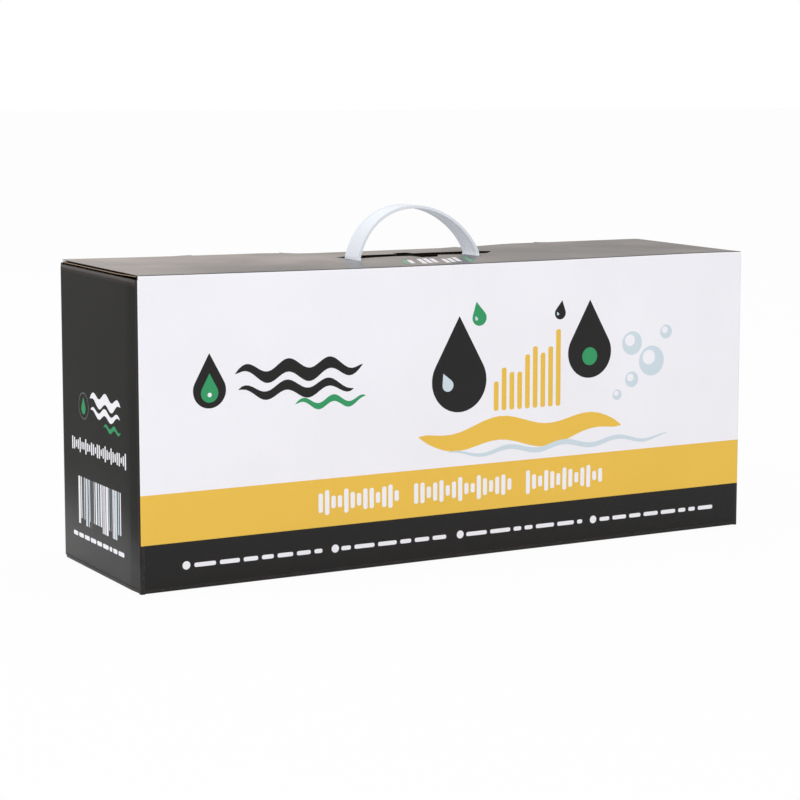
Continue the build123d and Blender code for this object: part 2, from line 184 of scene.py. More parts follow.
class Shape:
    """Points and faces gathered for one piece, each face with the number of its material."""

    def __init__(self):
        self.points = []
        self.faces = []
        self.slots = []

    def add(self, points, faces, slots):
        """Adds points and faces; slots is one material number, or one for each face."""
        start = len(self.points)
        self.points += [tuple(p) for p in points]
        self.faces += [tuple(start + i for i in face) for face in faces]
        self.slots += [slots] * len(faces) if isinstance(slots, int) else list(slots)

    def prism(self, top, bottom, slot=0):
        """A closed solid between two rings of as many points, top first, seen anticlockwise from the top."""
        count = len(top)
        ends = [tuple(range(count)), tuple(range(2 * count - 1, count - 1, -1))]
        sides = [(i, i + count, (i + 1) % count + count, (i + 1) % count) for i in range(count)]
        self.add(list(top) + list(bottom), ends + sides, slot)

    def blanket(self, top, bottom, slot=0, bottom_slot=None, edge_slot=None):
        """A closed solid between two grids of points, given as rows.

        slot is the top's material number, or a function that gives it for each row and column.
        """
        rows, columns = len(top), len(top[0])
        size = rows * columns
        points = [p for row in top for p in row] + [p for row in bottom for p in row]
        faces, slots = [], []
        slot_of = slot if callable(slot) else lambda i, j: slot
        under = slot_of if bottom_slot is None else lambda i, j: bottom_slot
        edge = (lambda i, j: edge_slot) if edge_slot is not None else under
        for i in range(rows - 1):
            for j in range(columns - 1):
                a, b = i * columns + j, (i + 1) * columns + j
                faces.append((a, b, b + 1, a + 1))
                slots.append(slot_of(i, j))
                faces.append((a + size, a + 1 + size, b + 1 + size, b + size))
                slots.append(under(i, j))
        for i in range(rows - 1):
            for j, turned in ((0, True), (columns - 1, False)):
                a, b = i * columns + j, (i + 1) * columns + j
                face = (a, b, b + size, a + size)
                faces.append(face[::-1] if turned else face)
                slots.append(edge(i, min(j, columns - 2)))
        for j in range(columns - 1):
            for i, turned in ((0, False), (rows - 1, True)):
                a, b = i * columns + j, i * columns + j + 1
                face = (a, b, b + size, a + size)
                faces.append(face[::-1] if turned else face)
                slots.append(edge(min(i, rows - 2), j))
        self.add(points, faces, slots)

    def tube(self, rings):
        """A closed solid through rings of as many points, capped at both ends."""
        count = len(rings[0])
        points = [p for ring in rings for p in ring]
        faces = []
        for i in range(len(rings) - 1):
            for j in range(count):
                a, b = i * count + j, i * count + (j + 1) % count
                faces.append((a, b, b + count, a + count))
        faces.append(tuple(range(count - 1, -1, -1)))
        faces.append(tuple(range(len(points) - count, len(points))))
        self.add(points, faces, 0)

    def make(self, name, body, materials, nodes=(), slot=None, sharp=35.0, move=None):
        """The piece itself, riding on a body and standing for its CAD nodes."""
        points = [move(p) for p in self.points] if move else self.points
        mesh = bpy.data.meshes.new(name)
        mesh.from_pydata([Vector(p) * MM for p in points], [], self.faces)
        for material in materials:
            mesh.materials.append(material)
        mesh.polygons.foreach_set("material_index", self.slots)
        held = bmesh.new()
        held.from_mesh(mesh)
        bmesh.ops.recalc_face_normals(held, faces=held.faces)
        held.to_mesh(mesh)
        held.free()
        mesh.polygons.foreach_set("use_smooth", [True] * len(mesh.polygons))
        mesh.set_sharp_from_angle(angle=radians(sharp))
        mesh.update()
        piece = bpy.data.objects.new(name, mesh)
        bpy.context.collection.objects.link(piece)
        if body:
            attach(piece, body)
        if nodes:
            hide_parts(*nodes)
        return piece


def divided(line, step, closed=True):
    """A line of points with more added so that none are further apart than step."""
    points = []
    pairs = list(zip(line, line[1:] + line[:1] if closed else line[1:]))
    for (ax, ay), (bx, by) in pairs:
        parts = max(1, int(hypot(bx - ax, by - ay) / step + 0.5))
        points += [(ax + (bx - ax) * k / parts, ay + (by - ay) * k / parts) for k in range(parts)]
    return points if closed else points + [line[-1]]


ROUNDED_SHARE = 0.49  # of a side, which the rounding of a corner takes up at most


def rounded(corners, radius, steps=5):
    """An outline whose corners are rounded; radius is one number or one for each corner."""
    radii = radius if isinstance(radius, (list, tuple)) else [radius] * len(corners)
    outline = []
    for i, (x, y) in enumerate(corners):
        corner = Vector((x, y))
        before = Vector(corners[i - 1]) - corner
        after = Vector(corners[(i + 1) % len(corners)]) - corner
        if radii[i] <= 0:
            outline.append((x, y))
            continue
        reach = radii[i] / max(1e-6, tan(before.angle(after) / 2))
        reach = min(reach, ROUNDED_SHARE * before.length, ROUNDED_SHARE * after.length)
        start = corner + before.normalized() * reach
        end = corner + after.normalized() * reach
        for k in range(steps + 1):
            t = k / steps
            middle = start.lerp(corner, t).lerp(corner.lerp(end, t), t)
            outline.append((middle.x, middle.y))
    return outline


def inside(points, loops):
    """Which of the points lie within the first loop and outside the others."""
    points = np.asarray(points, float).reshape(-1, 2)
    held = np.zeros(len(points), bool)
    for loop in loops:
        ring = np.asarray(loop, float)
        for (ax, ay), (bx, by) in zip(ring, np.roll(ring, -1, axis=0)):
            if ay == by:
                continue
            between = (points[:, 1] >= min(ay, by)) & (points[:, 1] < max(ay, by))
            held ^= between & (points[:, 0] < ax + (points[:, 1] - ay) * (bx - ax) / (by - ay))
    return held


GRID_CLEAR = 0.4  # of a step, which the grid inside an outline keeps from it
WELD = 1e-4


def laid_out(loops, step, lines=()):
    """Points and triangles over an outline with holes, cut along the given lines."""
    points, edges = [], []
    for loop in loops:
        ring = divided(list(loop), step)
        edges += [(len(points) + i, len(points) + (i + 1) % len(ring)) for i in range(len(ring))]
        points += ring
    for line in lines:
        run = divided(list(line), step, closed=False)
        edges += [(len(points) + i, len(points) + i + 1) for i in range(len(run) - 1)]
        points += run
    fixed = np.asarray(points)
    low, high = fixed.min(axis=0), fixed.max(axis=0)
    counts = np.maximum(1, np.round((high - low) / step)).astype(int)
    us = low[0] + (np.arange(counts[0]) + 0.5) * (high[0] - low[0]) / counts[0]
    vs = low[1] + (np.arange(counts[1]) + 0.5) * (high[1] - low[1]) / counts[1]
    grid = np.array([(u, v) for u in us for v in vs])
    grid = grid[inside(grid, loops)]
    if len(grid):
        apart = np.sqrt(((grid[:, None, :] - fixed[None, :, :]) ** 2).sum(axis=2)).min(axis=1)
        points += [tuple(p) for p in grid[apart > GRID_CLEAR * step]]
    found = delaunay_2d_cdt([Vector(p) for p in points], edges, [], 0, WELD)
    flat = [(v.x, v.y) for v in found[0]]
    middles = [tuple(np.mean([flat[i] for i in face], axis=0)) for face in found[2]]
    keep = inside(middles, loops)
    return flat, [tuple(face) for face, kept in zip(found[2], keep) if kept]


def plate(shape, flat, triangles, top, bottom, top_slot=0, bottom_slot=0, edge_slot=0):
    """Adds a closed solid whose top and bottom follow two functions over the same triangles."""
    used = sorted({i for face in triangles for i in face})
    index = {i: k for k, i in enumerate(used)}
    count = len(used)
    points = [top(*flat[i]) for i in used] + [bottom(*flat[i]) for i in used]
    faces, slots = [], []
    edges = set()
    for face in triangles:
        a, b, c = (index[i] for i in face)
        (ax, ay), (bx, by), (cx, cy) = (flat[i] for i in face)
        if (bx - ax) * (cy - ay) - (by - ay) * (cx - ax) < 0:
            b, c = c, b
        faces += [(a, b, c), (c + count, b + count, a + count)]
        middle = (ax + bx + cx) / 3, (ay + by + cy) / 3
        slots += [top_slot(*middle) if callable(top_slot) else top_slot, bottom_slot]
        edges |= {(a, b), (b, c), (c, a)}
    for a, b in edges:
        if (b, a) not in edges:
            faces.append((a, a + count, b + count, b))
            slots.append(edge_slot(*flat[used[a]]) if callable(edge_slot) else edge_slot)
    shape.add(points, faces, slots)


# Shader nodes ---------------------------------------------------------------------------------------------


def srgb(red, green, blue):
    """A colour written as 0 to 255 on a screen, in linear light."""
    values = []
    for value in (red, green, blue):
        v = value / 255
        values.append(v / 12.92 if v <= 0.04045 else ((v + 0.055) / 1.055) ** 2.4)
    return (*values, 1.0)


def node(tree, kind, **settings):
    """A shader node with its values: plain names set the node, and inputs are given in a dictionary."""
    made = tree.nodes.new(kind)
    for key, value in settings.pop("inputs", {}).items():
        made.inputs[key].default_value = value
    for key, value in settings.items():
        setattr(made, key, value)
    return made


def worked(tree, operation, a, b=None, clamped=False):
    """A math node on two values or outputs, giving its output."""
    made = node(tree, "ShaderNodeMath", operation=operation, use_clamp=clamped)
    for socket, value in zip(made.inputs, (a, b)):
        if value is None:
            continue
        if isinstance(value, (int, float)):
            socket.default_value = value
        else:
            tree.links.new(value, socket)
    return made.outputs[0]


def mixed(tree, factor, first, second):
    """A colour between two, each a plain colour or an output."""
    made = node(tree, "ShaderNodeMix", data_type="RGBA")
    for key, value in ((0, factor), (6, first), (7, second)):
        if isinstance(value, (int, float, tuple)):
            made.inputs[key].default_value = value
        else:
            tree.links.new(value, made.inputs[key])
    return made.outputs[2]


def surface_group(name, inputs):
    """A new group that gives a surface its colour, roughness and height.

    Returned are its node tree, its inputs, its results and the place on the object.
    """
    tree = bpy.data.node_groups.new(name, "ShaderNodeTree")
    for label, value in inputs.items():
        kind = "NodeSocketColor" if isinstance(value, tuple) else "NodeSocketFloat"
        tree.interface.new_socket(label, in_out="INPUT", socket_type=kind).default_value = value
    for label, kind in (("Color", "Color"), ("Roughness", "Float"), ("Height", "Float")):
        tree.interface.new_socket(label, in_out="OUTPUT", socket_type=f"NodeSocket{kind}")
    given, result = tree.nodes.new("NodeGroupInput"), tree.nodes.new("NodeGroupOutput")
    return tree, given.outputs, result.inputs, tree.nodes.new("ShaderNodeTexCoord").outputs["Object"]


def toned(tree, colour, tone):
    """A colour made lighter or darker by a value."""
    made = node(tree, "ShaderNodeVectorMath", operation="SCALE")
    tree.links.new(colour, made.inputs[0])
    tree.links.new(tone, made.inputs["Scale"])
    return made.outputs[0]


def placed(tree, shared, values):
    """A node group in a material, with its own values."""
    made = tree.nodes.new("ShaderNodeGroup")
    made.node_tree = shared
    for key, value in values.items():
        made.inputs[key].default_value = value
    return made


def noise(tree, vector, scale, detail=3.0, rough=0.5):
    """A noise texture's value."""
    made = node(tree, "ShaderNodeTexNoise", inputs={"Scale": scale, "Detail": detail, "Roughness": rough})
    tree.links.new(vector, made.inputs["Vector"])
    return made.outputs[0]


def spread(tree, value, low, high, to_low=0.0, to_high=1.0):
    """A value moved from one range to another, kept within it."""
    made = node(tree, "ShaderNodeMapRange", clamp=True)
    for key, number in zip(("From Min", "From Max", "To Min", "To Max"), (low, high, to_low, to_high)):
        if isinstance(number, (int, float)):
            made.inputs[key].default_value = number
        else:
            tree.links.new(number, made.inputs[key])
    tree.links.new(value, made.inputs["Value"])
    return made.outputs[0]


def printed_face_group():
    """Ink on clay-coated liner: the flutes just show through, and the lacquer is a little uneven."""
    tree, given, result, place = surface_group(
        "printed_face",
        {"Ink": (1.0, 1.0, 1.0, 1.0), "Fibre": (0.6, 0.5, 0.4, 1.0), "Wear": 0.0, "Gloss": 0.3},
    )
    split = tree.nodes.new("ShaderNodeSeparateXYZ")
    tree.links.new(place, split.inputs[0])
    across = worked(tree, "ADD", split.outputs["X"], split.outputs["Y"])
    flutes = worked(tree, "SINE", worked(tree, "MULTIPLY", across, tau / (FLUTE_PITCH * MM)))
    drift = noise(tree, place, 14.0, 2.0)
    peel = noise(tree, place, 900.0, 2.0)
    fleck = noise(tree, place, 2600.0, 4.0, 0.6)
    tint = spread(tree, drift, 0.3, 0.7, 0.965, 1.0)
    speck = spread(tree, fleck, 0.30, 0.42, 0.93, 1.0)
    inked = toned(tree, given["Ink"], worked(tree, "MULTIPLY", tint, speck))
    worn = worked(tree, "MULTIPLY", spread(tree, fleck, 0.56, 0.66), given["Wear"])
    tree.links.new(mixed(tree, worn, inked, given["Fibre"]), result["Color"])
    uneven = spread(tree, drift, 0.3, 0.7, -0.05, 0.06)
    gloss = worked(tree, "ADD", given["Gloss"], uneven)
    scuffed = worked(tree, "ADD", gloss, worked(tree, "MULTIPLY", worn, 0.4), clamped=True)
    tree.links.new(scuffed, result["Roughness"])
    height = worked(tree, "ADD", worked(tree, "MULTIPLY", flutes, 0.35), worked(tree, "MULTIPLY", peel, 0.5))
    tree.links.new(worked(tree, "ADD", height, worked(tree, "MULTIPLY", drift, 3.0)), result["Height"])
    return tree


def paper_group():
    """Bare paper: long soft fibres, darker flecks and a slight tooth."""
    tree, given, result, place = surface_group(
        "paper_fibres",
        {"Paper": (0.5, 0.4, 0.3, 1.0), "Fleck": (0.2, 0.15, 0.1, 1.0), "Amount": 0.4},
    )
    drawn = node(tree, "ShaderNodeMapping", inputs={"Scale": (1.0, 0.35, 0.35)})
    tree.links.new(place, drawn.inputs[0])
    fibres = noise(tree, drawn.outputs[0], 1500.0, 5.0, 0.65)
    cloud = noise(tree, place, 60.0, 3.0)
    dots = noise(tree, place, 1100.0, 2.0, 0.4)
    tone = spread(tree, fibres, 0.35, 0.65, 0.86, 1.06)
    wash = spread(tree, cloud, 0.3, 0.7, 0.95, 1.04)
    paper = toned(tree, given["Paper"], worked(tree, "MULTIPLY", tone, wash))
    flecked = worked(tree, "MULTIPLY", spread(tree, dots, 0.68, 0.74), given["Amount"])
    tree.links.new(mixed(tree, flecked, paper, given["Fleck"]), result["Color"])
    tree.links.new(spread(tree, fibres, 0.3, 0.7, 0.78, 0.94), result["Roughness"])
    tree.links.new(worked(tree, "ADD", fibres, worked(tree, "MULTIPLY", cloud, 0.6)), result["Height"])
    return tree


def moulded_group():
    """Moulded plastic: a fine spark-eroded grain, faint flow marks and duller rubbed patches."""
    tree, given, result, place = surface_group(
        "moulded_plastic",
        {"Plastic": (0.5, 0.5, 0.5, 1.0), "Gloss": 0.35, "Grain": 0.5, "Rub": 0.1},
    )
    grain = noise(tree, place, 1400.0, 2.0)
    flow = node(tree, "ShaderNodeMapping", inputs={"Scale": (1.0, 1.0, 0.25)})
    tree.links.new(place, flow.inputs[0])
    marks = noise(tree, flow.outputs[0], 28.0, 4.0, 0.6)
    rub = noise(tree, place, 90.0, 6.0, 0.7)
    tone = spread(tree, marks, 0.3, 0.7, 0.94, 1.03)
    tree.links.new(toned(tree, given["Plastic"], tone), result["Color"])
    dull = worked(tree, "MULTIPLY", spread(tree, rub, 0.45, 0.7), given["Rub"])
    tree.links.new(worked(tree, "ADD", given["Gloss"], dull, clamped=True), result["Roughness"])
    tree.links.new(worked(tree, "MULTIPLY", grain, given["Grain"]), result["Height"])
    return tree


printed_face = printed_face_group()
paper_fibres = paper_group()
moulded_plastic = moulded_group()


def material(name, shared, values, bump, distance=0.0001, **shader):
    """A material whose colour, roughness and relief come from a shared group."""
    made = bpy.data.materials.new(name)
    made.use_nodes = True
    tree = made.node_tree
    principled = tree.nodes["Principled BSDF"]
    for key, value in shader.items():
        principled.inputs[key.replace("_", " ")].default_value = value
    surface = placed(tree, shared, values)
    tree.links.new(surface.outputs["Color"], principled.inputs["Base Color"])
    tree.links.new(surface.outputs["Roughness"], principled.inputs["Roughness"])
    relief = node(tree, "ShaderNodeBump", inputs={"Strength": bump, "Distance": distance})
    tree.links.new(surface.outputs["Height"], relief.inputs["Height"])
    tree.links.new(relief.outputs[0], principled.inputs["Normal"])
    return made


KRAFT = srgb(186, 164, 142)
WHITE_INK = srgb(243, 242, 248)
YELLOW_INK = srgb(236, 191, 69)


def printed_liner(name, colour, gloss=0.34, wear=0.0, bump=0.12, **shader):
    """Printed and laminated liner in one colour; gloss is its roughness, and wear bares its fibres."""
    values = {"Ink": colour, "Fibre": KRAFT, "Wear": wear, "Gloss": gloss}
    return material(name, printed_face, values, bump, **shader)


def fibrous(name, colour, fleck, amount, bump, **shader):
    """Paper or bristle in one colour, with an amount of flecks in another."""
    return material(name, paper_fibres, {"Paper": colour, "Fleck": fleck, "Amount": amount}, bump, **shader)


def moulded(name, colour, gloss, grain, rub, bump, **shader):
    """Moulded plastic, rubber or fluid in one colour; gloss is its roughness where nothing has rubbed it."""
    values = {"Plastic": colour, "Gloss": gloss, "Grain": grain, "Rub": rub}
    return material(name, moulded_plastic, values, bump, **shader)


white_print = printed_liner("white_print", WHITE_INK)
yellow_print = printed_liner("yellow_print", YELLOW_INK)
black_print = printed_liner("black_print", srgb(25, 24, 24), gloss=0.22, bump=0.08, Specular_IOR_Level=0.28)
green_print = printed_liner("green_print", srgb(32, 150, 92))
pale_print = printed_liner("pale_print", srgb(205, 219, 228))
grey_print = printed_liner("grey_print", srgb(96, 101, 106))
white_fold = printed_liner("white_fold", WHITE_INK, gloss=0.36, wear=0.12)
yellow_fold = printed_liner("yellow_fold", YELLOW_INK, gloss=0.36, wear=0.12)
black_fold = printed_liner(
    "black_fold", srgb(29, 28, 28), gloss=0.30, wear=0.16, bump=0.1, Specular_IOR_Level=0.28
)
kraft_liner = fibrous("kraft_liner", KRAFT, srgb(120, 96, 74), amount=0.5, bump=0.5)
kraft_edge = fibrous("kraft_edge", srgb(168, 144, 120), srgb(96, 76, 58), amount=0.6, bump=0.6)
# Kraft darkened far below its own colour: painted shade for the flutes, the hollows between the liners and the cut
# edges that lie in shadow
shaded_kraft = fibrous("shaded_kraft", srgb(54, 41, 30), srgb(38, 28, 20), amount=0.5, bump=0.5)

FACES = [white_print, yellow_print, black_print, kraft_liner, kraft_edge, shaded_kraft]
FOLDS = [white_fold, yellow_fold, black_fold, kraft_liner, kraft_edge, shaded_kraft]
WHITE, YELLOW, BLACK, BARE, EDGE, SHADED_KRAFT = range(len(FACES))


def band(z):
    """The colour of the printed front at a height."""
    if z < BLACK_TOP:
        return BLACK
    return YELLOW if z < YELLOW_TOP else WHITE


# Corrugated board -----------------------------------------------------------------------------------------


def crossings(loops, u):
    """The stretches of an outline with holes along the line at u."""
    found = []
    for loop in loops:
        for (ax, ay), (bx, by) in zip(loop, loop[1:] + loop[:1]):
            if min(ax, bx) <= u < max(ax, bx):
                found.append(ay + (u - ax) * (by - ay) / (bx - ax))
    found.sort()
    return list(zip(found[::2], found[1::2]))


def flutes(shape, loops, surface, thick):
    """The waved paper between the liners, drawn in from every cut edge."""
    low = min(u for u, _ in loops[0]) + FLUTE_RECESS
    high = max(u for u, _ in loops[0]) - FLUTE_RECESS
    count = int((high - low) / FLUTE_PITCH * FLUTE_STEPS)
    samples = [low + (high - low) * i / count for i in range(count + 1)]
    runs, last = [], 0
    for u in samples:
        wide = [(a, b) for a, b in crossings(loops, u) if b - a > 3 * CUT_RECESS]
        stretches = [(a + CUT_RECESS, b - CUT_RECESS) for a, b in wide]
        if len(stretches) != last:
            runs.append([])
            last = len(stretches)
        if stretches:
            runs[-1].append((u, stretches))
    for run in runs:
        if len(run) < 2:
            continue
        for k in range(len(run[0][1])):
            longest = max(stretches[k][1] - stretches[k][0] for _, stretches in run)
            parts = max(1, round(longest / GRID))
            top, bottom = [], []
            for u, stretches in run:
                a, b = stretches[k]
                wave = sin(tau * u / FLUTE_PITCH)
                upper, lower = [], []
                for j in range(parts + 1):
                    v = a + (b - a) * j / parts
                    room = thick(u, v) / 2 - LINER - MEDIUM / 2
                    middle = -thick(u, v) / 2 + wave * room
                    upper.append(surface(u, v, middle + MEDIUM / 2))
                    lower.append(surface(u, v, middle - MEDIUM / 2))
                top.append(upper)
                bottom.append(lower)
            # the flutes take the darkened kraft, painted shade
            shape.blanket(top, bottom, SHADED_KRAFT)


def even_thickness(u, v):
    """The board's thickness where nothing has pressed on it."""
    return BOARD


def board(
    name, node_name, body, surface, loops, face, lines=(), thick=even_thickness, fluted=True, finish=None,
    cut=(EDGE, EDGE),
):
    """A panel of board: surface gives the place of (u, v, height over its outer face), and face its print.

    cut gives the colour of the cut edges of its two liners, the outer one first.
    """

    def outer(u, v):
        return surface(u, v, 0)

    def outer_under(u, v):
        return surface(u, v, -LINER)

    def inner_over(u, v):
        return surface(u, v, LINER - thick(u, v))

    def inner(u, v):
        return surface(u, v, -thick(u, v))

    shape = Shape()
    flat, triangles = laid_out(loops, GRID, lines)
    if fluted:
        # the liners' faces towards the flutes take painted shade
        plate(shape, flat, triangles, outer, outer_under, face, SHADED_KRAFT, cut[0])
        plate(shape, flat, triangles, inner_over, inner, SHADED_KRAFT, BARE, cut[1])
        flutes(shape, [list(loop) for loop in loops], surface, thick)
    else:
        plate(shape, flat, triangles, outer, inner, face, BARE, EDGE)
    finish = finish or ("plain_board" if face == BARE else "black_print")
    shape.make(name, body, FACES, [node_name], finish, move=settle)


BEND_STEPS = 8


def strip(
    name, bodies, corner, wall_way, flap_way, along, face, thick=(BOARD, BOARD), levels=(), climb=None,
    crest=0.0, finish="black_print",
):
    """A fold: the board bent round a score from a wall to a flap, or round a corner of the carton.

    corner is where the outer faces would meet, and along gives the two ends of the fold beyond it. climb is
    how far the flap rises past the fold, and over what length, and crest how far the fold itself bulges
    upwards.
    """
    corner, wall_way, flap_way = Vector(corner), Vector(wall_way), Vector(flap_way)
    line = wall_way.cross(flap_way)
    path = [(FOLD_REACH, 0.0, 0.0, thick[0])]
    for k in range(BEND_STEPS + 1):
        angle = pi / 2 * k / BEND_STEPS
        bend = 1 - abs(2 * k / BEND_STEPS - 1)
        down = FOLD_RADIUS * (1 - sin(angle)) - crest * sin(angle)
        across = FOLD_RADIUS * (1 - cos(angle))
        path.append((down, across, angle, FOLD_START - (FOLD_START - CRUSHED) * bend))
    path.append((0.0, FOLD_REACH, pi / 2, thick[1]))
    if climb:
        path.append((*climb, pi / 2, thick[1]))
    low, high = along
    stations = sorted({low, high, *[s for s in levels if low < s < high]})
    full = []
    for a, b in zip(stations, stations[1:]):
        parts = max(1, round((b - a) / GRID))
        full += [a + (b - a) * k / parts for k in range(parts)]
    full.append(high)
    top, bottom = [], []
    for s in full:
        base = corner + line * s
        outer, inner = [], []
        for a, b, angle, t in path:
            out = base + wall_way * a + flap_way * b
            outer.append(out)
            inner.append(out + wall_way * (sin(angle) * t) + flap_way * (cos(angle) * t))
        top.append(outer)
        bottom.append(inner)
    turned = BEND_STEPS / 2 + 0.5

    def slot(i, j):
        middle = corner + line * ((full[i] + full[i + 1]) / 2)
        return face(middle, j > turned)

    shape = Shape()
    # the ends of the strip take painted shade
    shape.blanket(top, bottom, slot, BARE, SHADED_KRAFT)
    static = isinstance(bodies, str)
    piece = shape.make(name, bodies if static else None, FOLDS, slot=finish, move=settle)
    if not static:
        start = settle(corner + wall_way * FOLD_RADIUS) * MM
        end = settle(corner + flap_way * FOLD_RADIUS) * MM
        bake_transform(piece)


def rectangle(low_u, high_u, low_v, high_v):
    """The four corners of a rectangle, anticlockwise."""
    return [(low_u, low_v), (high_u, low_v), (high_u, high_v), (low_u, high_v)]


# On each wall, u runs to the right and v up, as seen from outside, and w is the height over its face


def on_front(u, v, w):
    return Vector((u, -HALF_DEPTH - w, v))


def on_back(u, v, w):
    return Vector((-u, HALF_DEPTH + w, v))


def on_left(u, v, w):
    return Vector((-HALF_LENGTH - w, -u, v))


def on_right(u, v, w):
    return Vector((HALF_LENGTH + w, u, v))


def walls():
    """The four walls, each between its folds, and the seam that closes them."""
    wide, deep = HALF_LENGTH - FOLD_REACH, HALF_DEPTH - FOLD_REACH
    bands = [[(-wide, z), (wide, z)] for z in (BLACK_TOP, YELLOW_TOP)]
    for name, place in (("front", on_front), ("back", on_back)):
        foot, top = WALL_HEIGHTS[name]
        wall = rectangle(-wide, wide, foot + FOLD_REACH, top - FOLD_REACH)
        board(
            f"{name}_wall", f"{name}_panel", "carton", place, [wall], lambda u, v: band(v), bands,
            fluted=False, finish="front_print",
        )
    foot, top = END_FOOT + FOLD_REACH, DUST_TOP - FOLD_REACH
    for name, side, place in (("left", -1, on_left), ("right", 1, on_right)):
        creases = [side * (CREASE_INSET - HALF_DEPTH + k) for k in CREASE_EDGES]
        lines = [[(u, foot), (u, top)] for u in creases]
        wall = rectangle(-deep, deep, foot, top)
        board(f"{name}_wall", f"{name}_panel", "carton", place, [wall], BLACK, lines, fluted=False)
    seam = rectangle(glue_low.y, glue_high.y - FOLD_RADIUS, glue_low.z, glue_high.z)
    board(
        "glue_seam", "glue_tab", "carton",
        lambda u, v, w: Vector((glue_low.x - w, -u, v)), [[(-u, v) for u, v in seam][::-1]], BARE,
    )


def corners():
    """The four upright corners of the carton."""

    def face(middle, past):
        return BLACK if past else band(middle.z)

    for end, side in (("left", -1), ("right", 1)):
        for wall, way in (("front", -1), ("back", 1)):
            corner = Vector((side * HALF_LENGTH, way * HALF_DEPTH, 0))
            wall_way = Vector((-side, 0, 0))
            flap_way = Vector((0, -way, 0))
            up = wall_way.cross(flap_way).z
            foot, top = WALL_HEIGHTS[wall]
            along = sorted((up * foot, up * (top - FOLD_REACH)))
            levels = (up * BLACK_TOP, up * YELLOW_TOP)
            strip(
                f"corner_{wall}_{end}", "carton", corner, wall_way, flap_way, along, face, levels=levels,
                finish="front_print",
            )


# The handle's slot in the lid, from the carton's centre
SLOT_TIPS = (-45.0, 68.0)
SLOT_TIP_Y = 19.0
SLOT_EDGES = (9.0, 23.0)  # near and far
SLOT_TAPER = 9.0  # the length of each tapered tip
SLOT_CORNER = 1.4
LEG_WINDOW = 4.4  # the width of the cut in front of each leg
LEG_FRONT = -3.6  # and how far forward it runs
THUMB_LEFT, THUMB_RIGHT = 3.5, 21.5
THUMB_FRONT = 2.0
THUMB_SLANT = 2.5  # of each side of the thumb cut
THUMB_CORNER = 3.0
RELIEF_LEFT, RELIEF_RIGHT = 1.0, 12.0
RELIEF_BACK = 31.0
THUMB_DIP = 0.75  # by which a thumb has pressed the board down
THUMB_REACH = 17.0  # how far from the cut that dip reaches
LEG_DIP = 0.7  # by which each leg of the handle presses it down
LEG_REACH = 25.0

strap_low, strap_high = node_box("carry_handle")
STRAP = 2.0  # the strap's thickness
LEGS = (strap_low.x + STRAP / 2, strap_high.x - STRAP / 2)


def slot_outline():
    """The handle's slot in the lid: tapered tips, a window for each leg, a thumb cut and a relief behind."""
    near, far = SLOT_EDGES
    left, right = SLOT_TIPS
    half = LEG_WINDOW / 2
    tapered = SLOT_TIP_Y + (near - SLOT_TIP_Y) * (LEGS[0] - half - left) / SLOT_TAPER
    thumb = [
        (THUMB_LEFT, near),
        (THUMB_LEFT + THUMB_SLANT, THUMB_FRONT),
        (THUMB_RIGHT - THUMB_SLANT, THUMB_FRONT),
        (THUMB_RIGHT, near),
    ]
    windows = [
        [(x - half, foot), (x - half, LEG_FRONT), (x + half, LEG_FRONT), (x + half, near)]
        for x, foot in zip(LEGS, (tapered, near))
    ]
    right_tip = [(right - SLOT_TAPER, near), (right, SLOT_TIP_Y), (right - SLOT_TAPER, far)]
    relief = rectangle(RELIEF_LEFT, RELIEF_RIGHT, far, RELIEF_BACK)
    relief = relief[1:] + relief[:1]
    path = [(left, SLOT_TIP_Y), *windows[0], *thumb, *windows[1], *right_tip, *relief]
    path.append((left + SLOT_TAPER, far))
    radii = [THUMB_CORNER if point in thumb else SLOT_CORNER for point in path]
    return rounded(path, radii, 4)


tab_boxes = [node_box("tuck_tab_left"), node_box("tuck_tab_right")]
TAB_BACK = tab_boxes[0][1].y
LID_CRUSH = 26.0  # how far from its fold the lid's board is back to its full thickness
LID_CRUSHED = 0.95  # its thickness at the fold
LID_CORNER = 3.5
TAB_CORNER = 8.0
TAB_ROOT = 0.3  # by which the flat lid runs on into the fold of a tuck tab
TAB_NOTCH = 0.5  # the width of the cut beside the tab
TAB_BEND_STEPS = 6
TAB_ROWS = 8
TAB_COLUMNS = 12


def lid_thickness(u, v):
    """The lid's board, pressed flat at its fold."""
    share = smooth((v + HALF_DEPTH) / LID_CRUSH)
    return LID_CRUSHED + (BOARD - LID_CRUSHED) * share


def slot_dip(u, v):
    """How far the board is pressed down in front of the slot, by a thumb and by the handle's legs."""
    along = smooth(1 - abs(u - (THUMB_LEFT + THUMB_RIGHT) / 2) / THUMB_REACH)
    dip = THUMB_DIP * along * smooth(1 - abs(v - THUMB_FRONT) / THUMB_REACH)
    for x in LEGS:
        dip += LEG_DIP * smooth(1 - abs(u - x) / LEG_REACH) * smooth(1 - abs(v - THUMB_FRONT) / LEG_REACH)
    return dip


def tab_crest(u, v):
    """How far the lid bulges by the fold of a tuck tab."""
    beside = min(max(low.x - u, u - high.x) for low, high in tab_boxes)
    along = smooth(1 - beside / TAB_CREST_DEPTH)
    return TAB_CREST * along * smooth(1 - (TAB_BACK - FOLD_REACH - v) / TAB_CREST_DEPTH)


def lid_surface(u, v, w):
    """The lid, which stands up a little at the far lip of its slot and over its tabs."""
    inside_tips = min(u - SLOT_TIPS[0], SLOT_TIPS[1] - u)
    behind = smooth((v - SLOT_EDGES[0]) / (SLOT_EDGES[1] - SLOT_EDGES[0]))
    fading = smooth(1 - (v - SLOT_EDGES[1]) / SLOT_LIFT_DEPTH)
    lip = SLOT_LIFT * smooth(inside_tips / (2 * SLOT_TAPER)) * behind * fading
    return Vector((u, v, HEIGHT + w + lip + tab_crest(u, v) - slot_dip(u, v)))


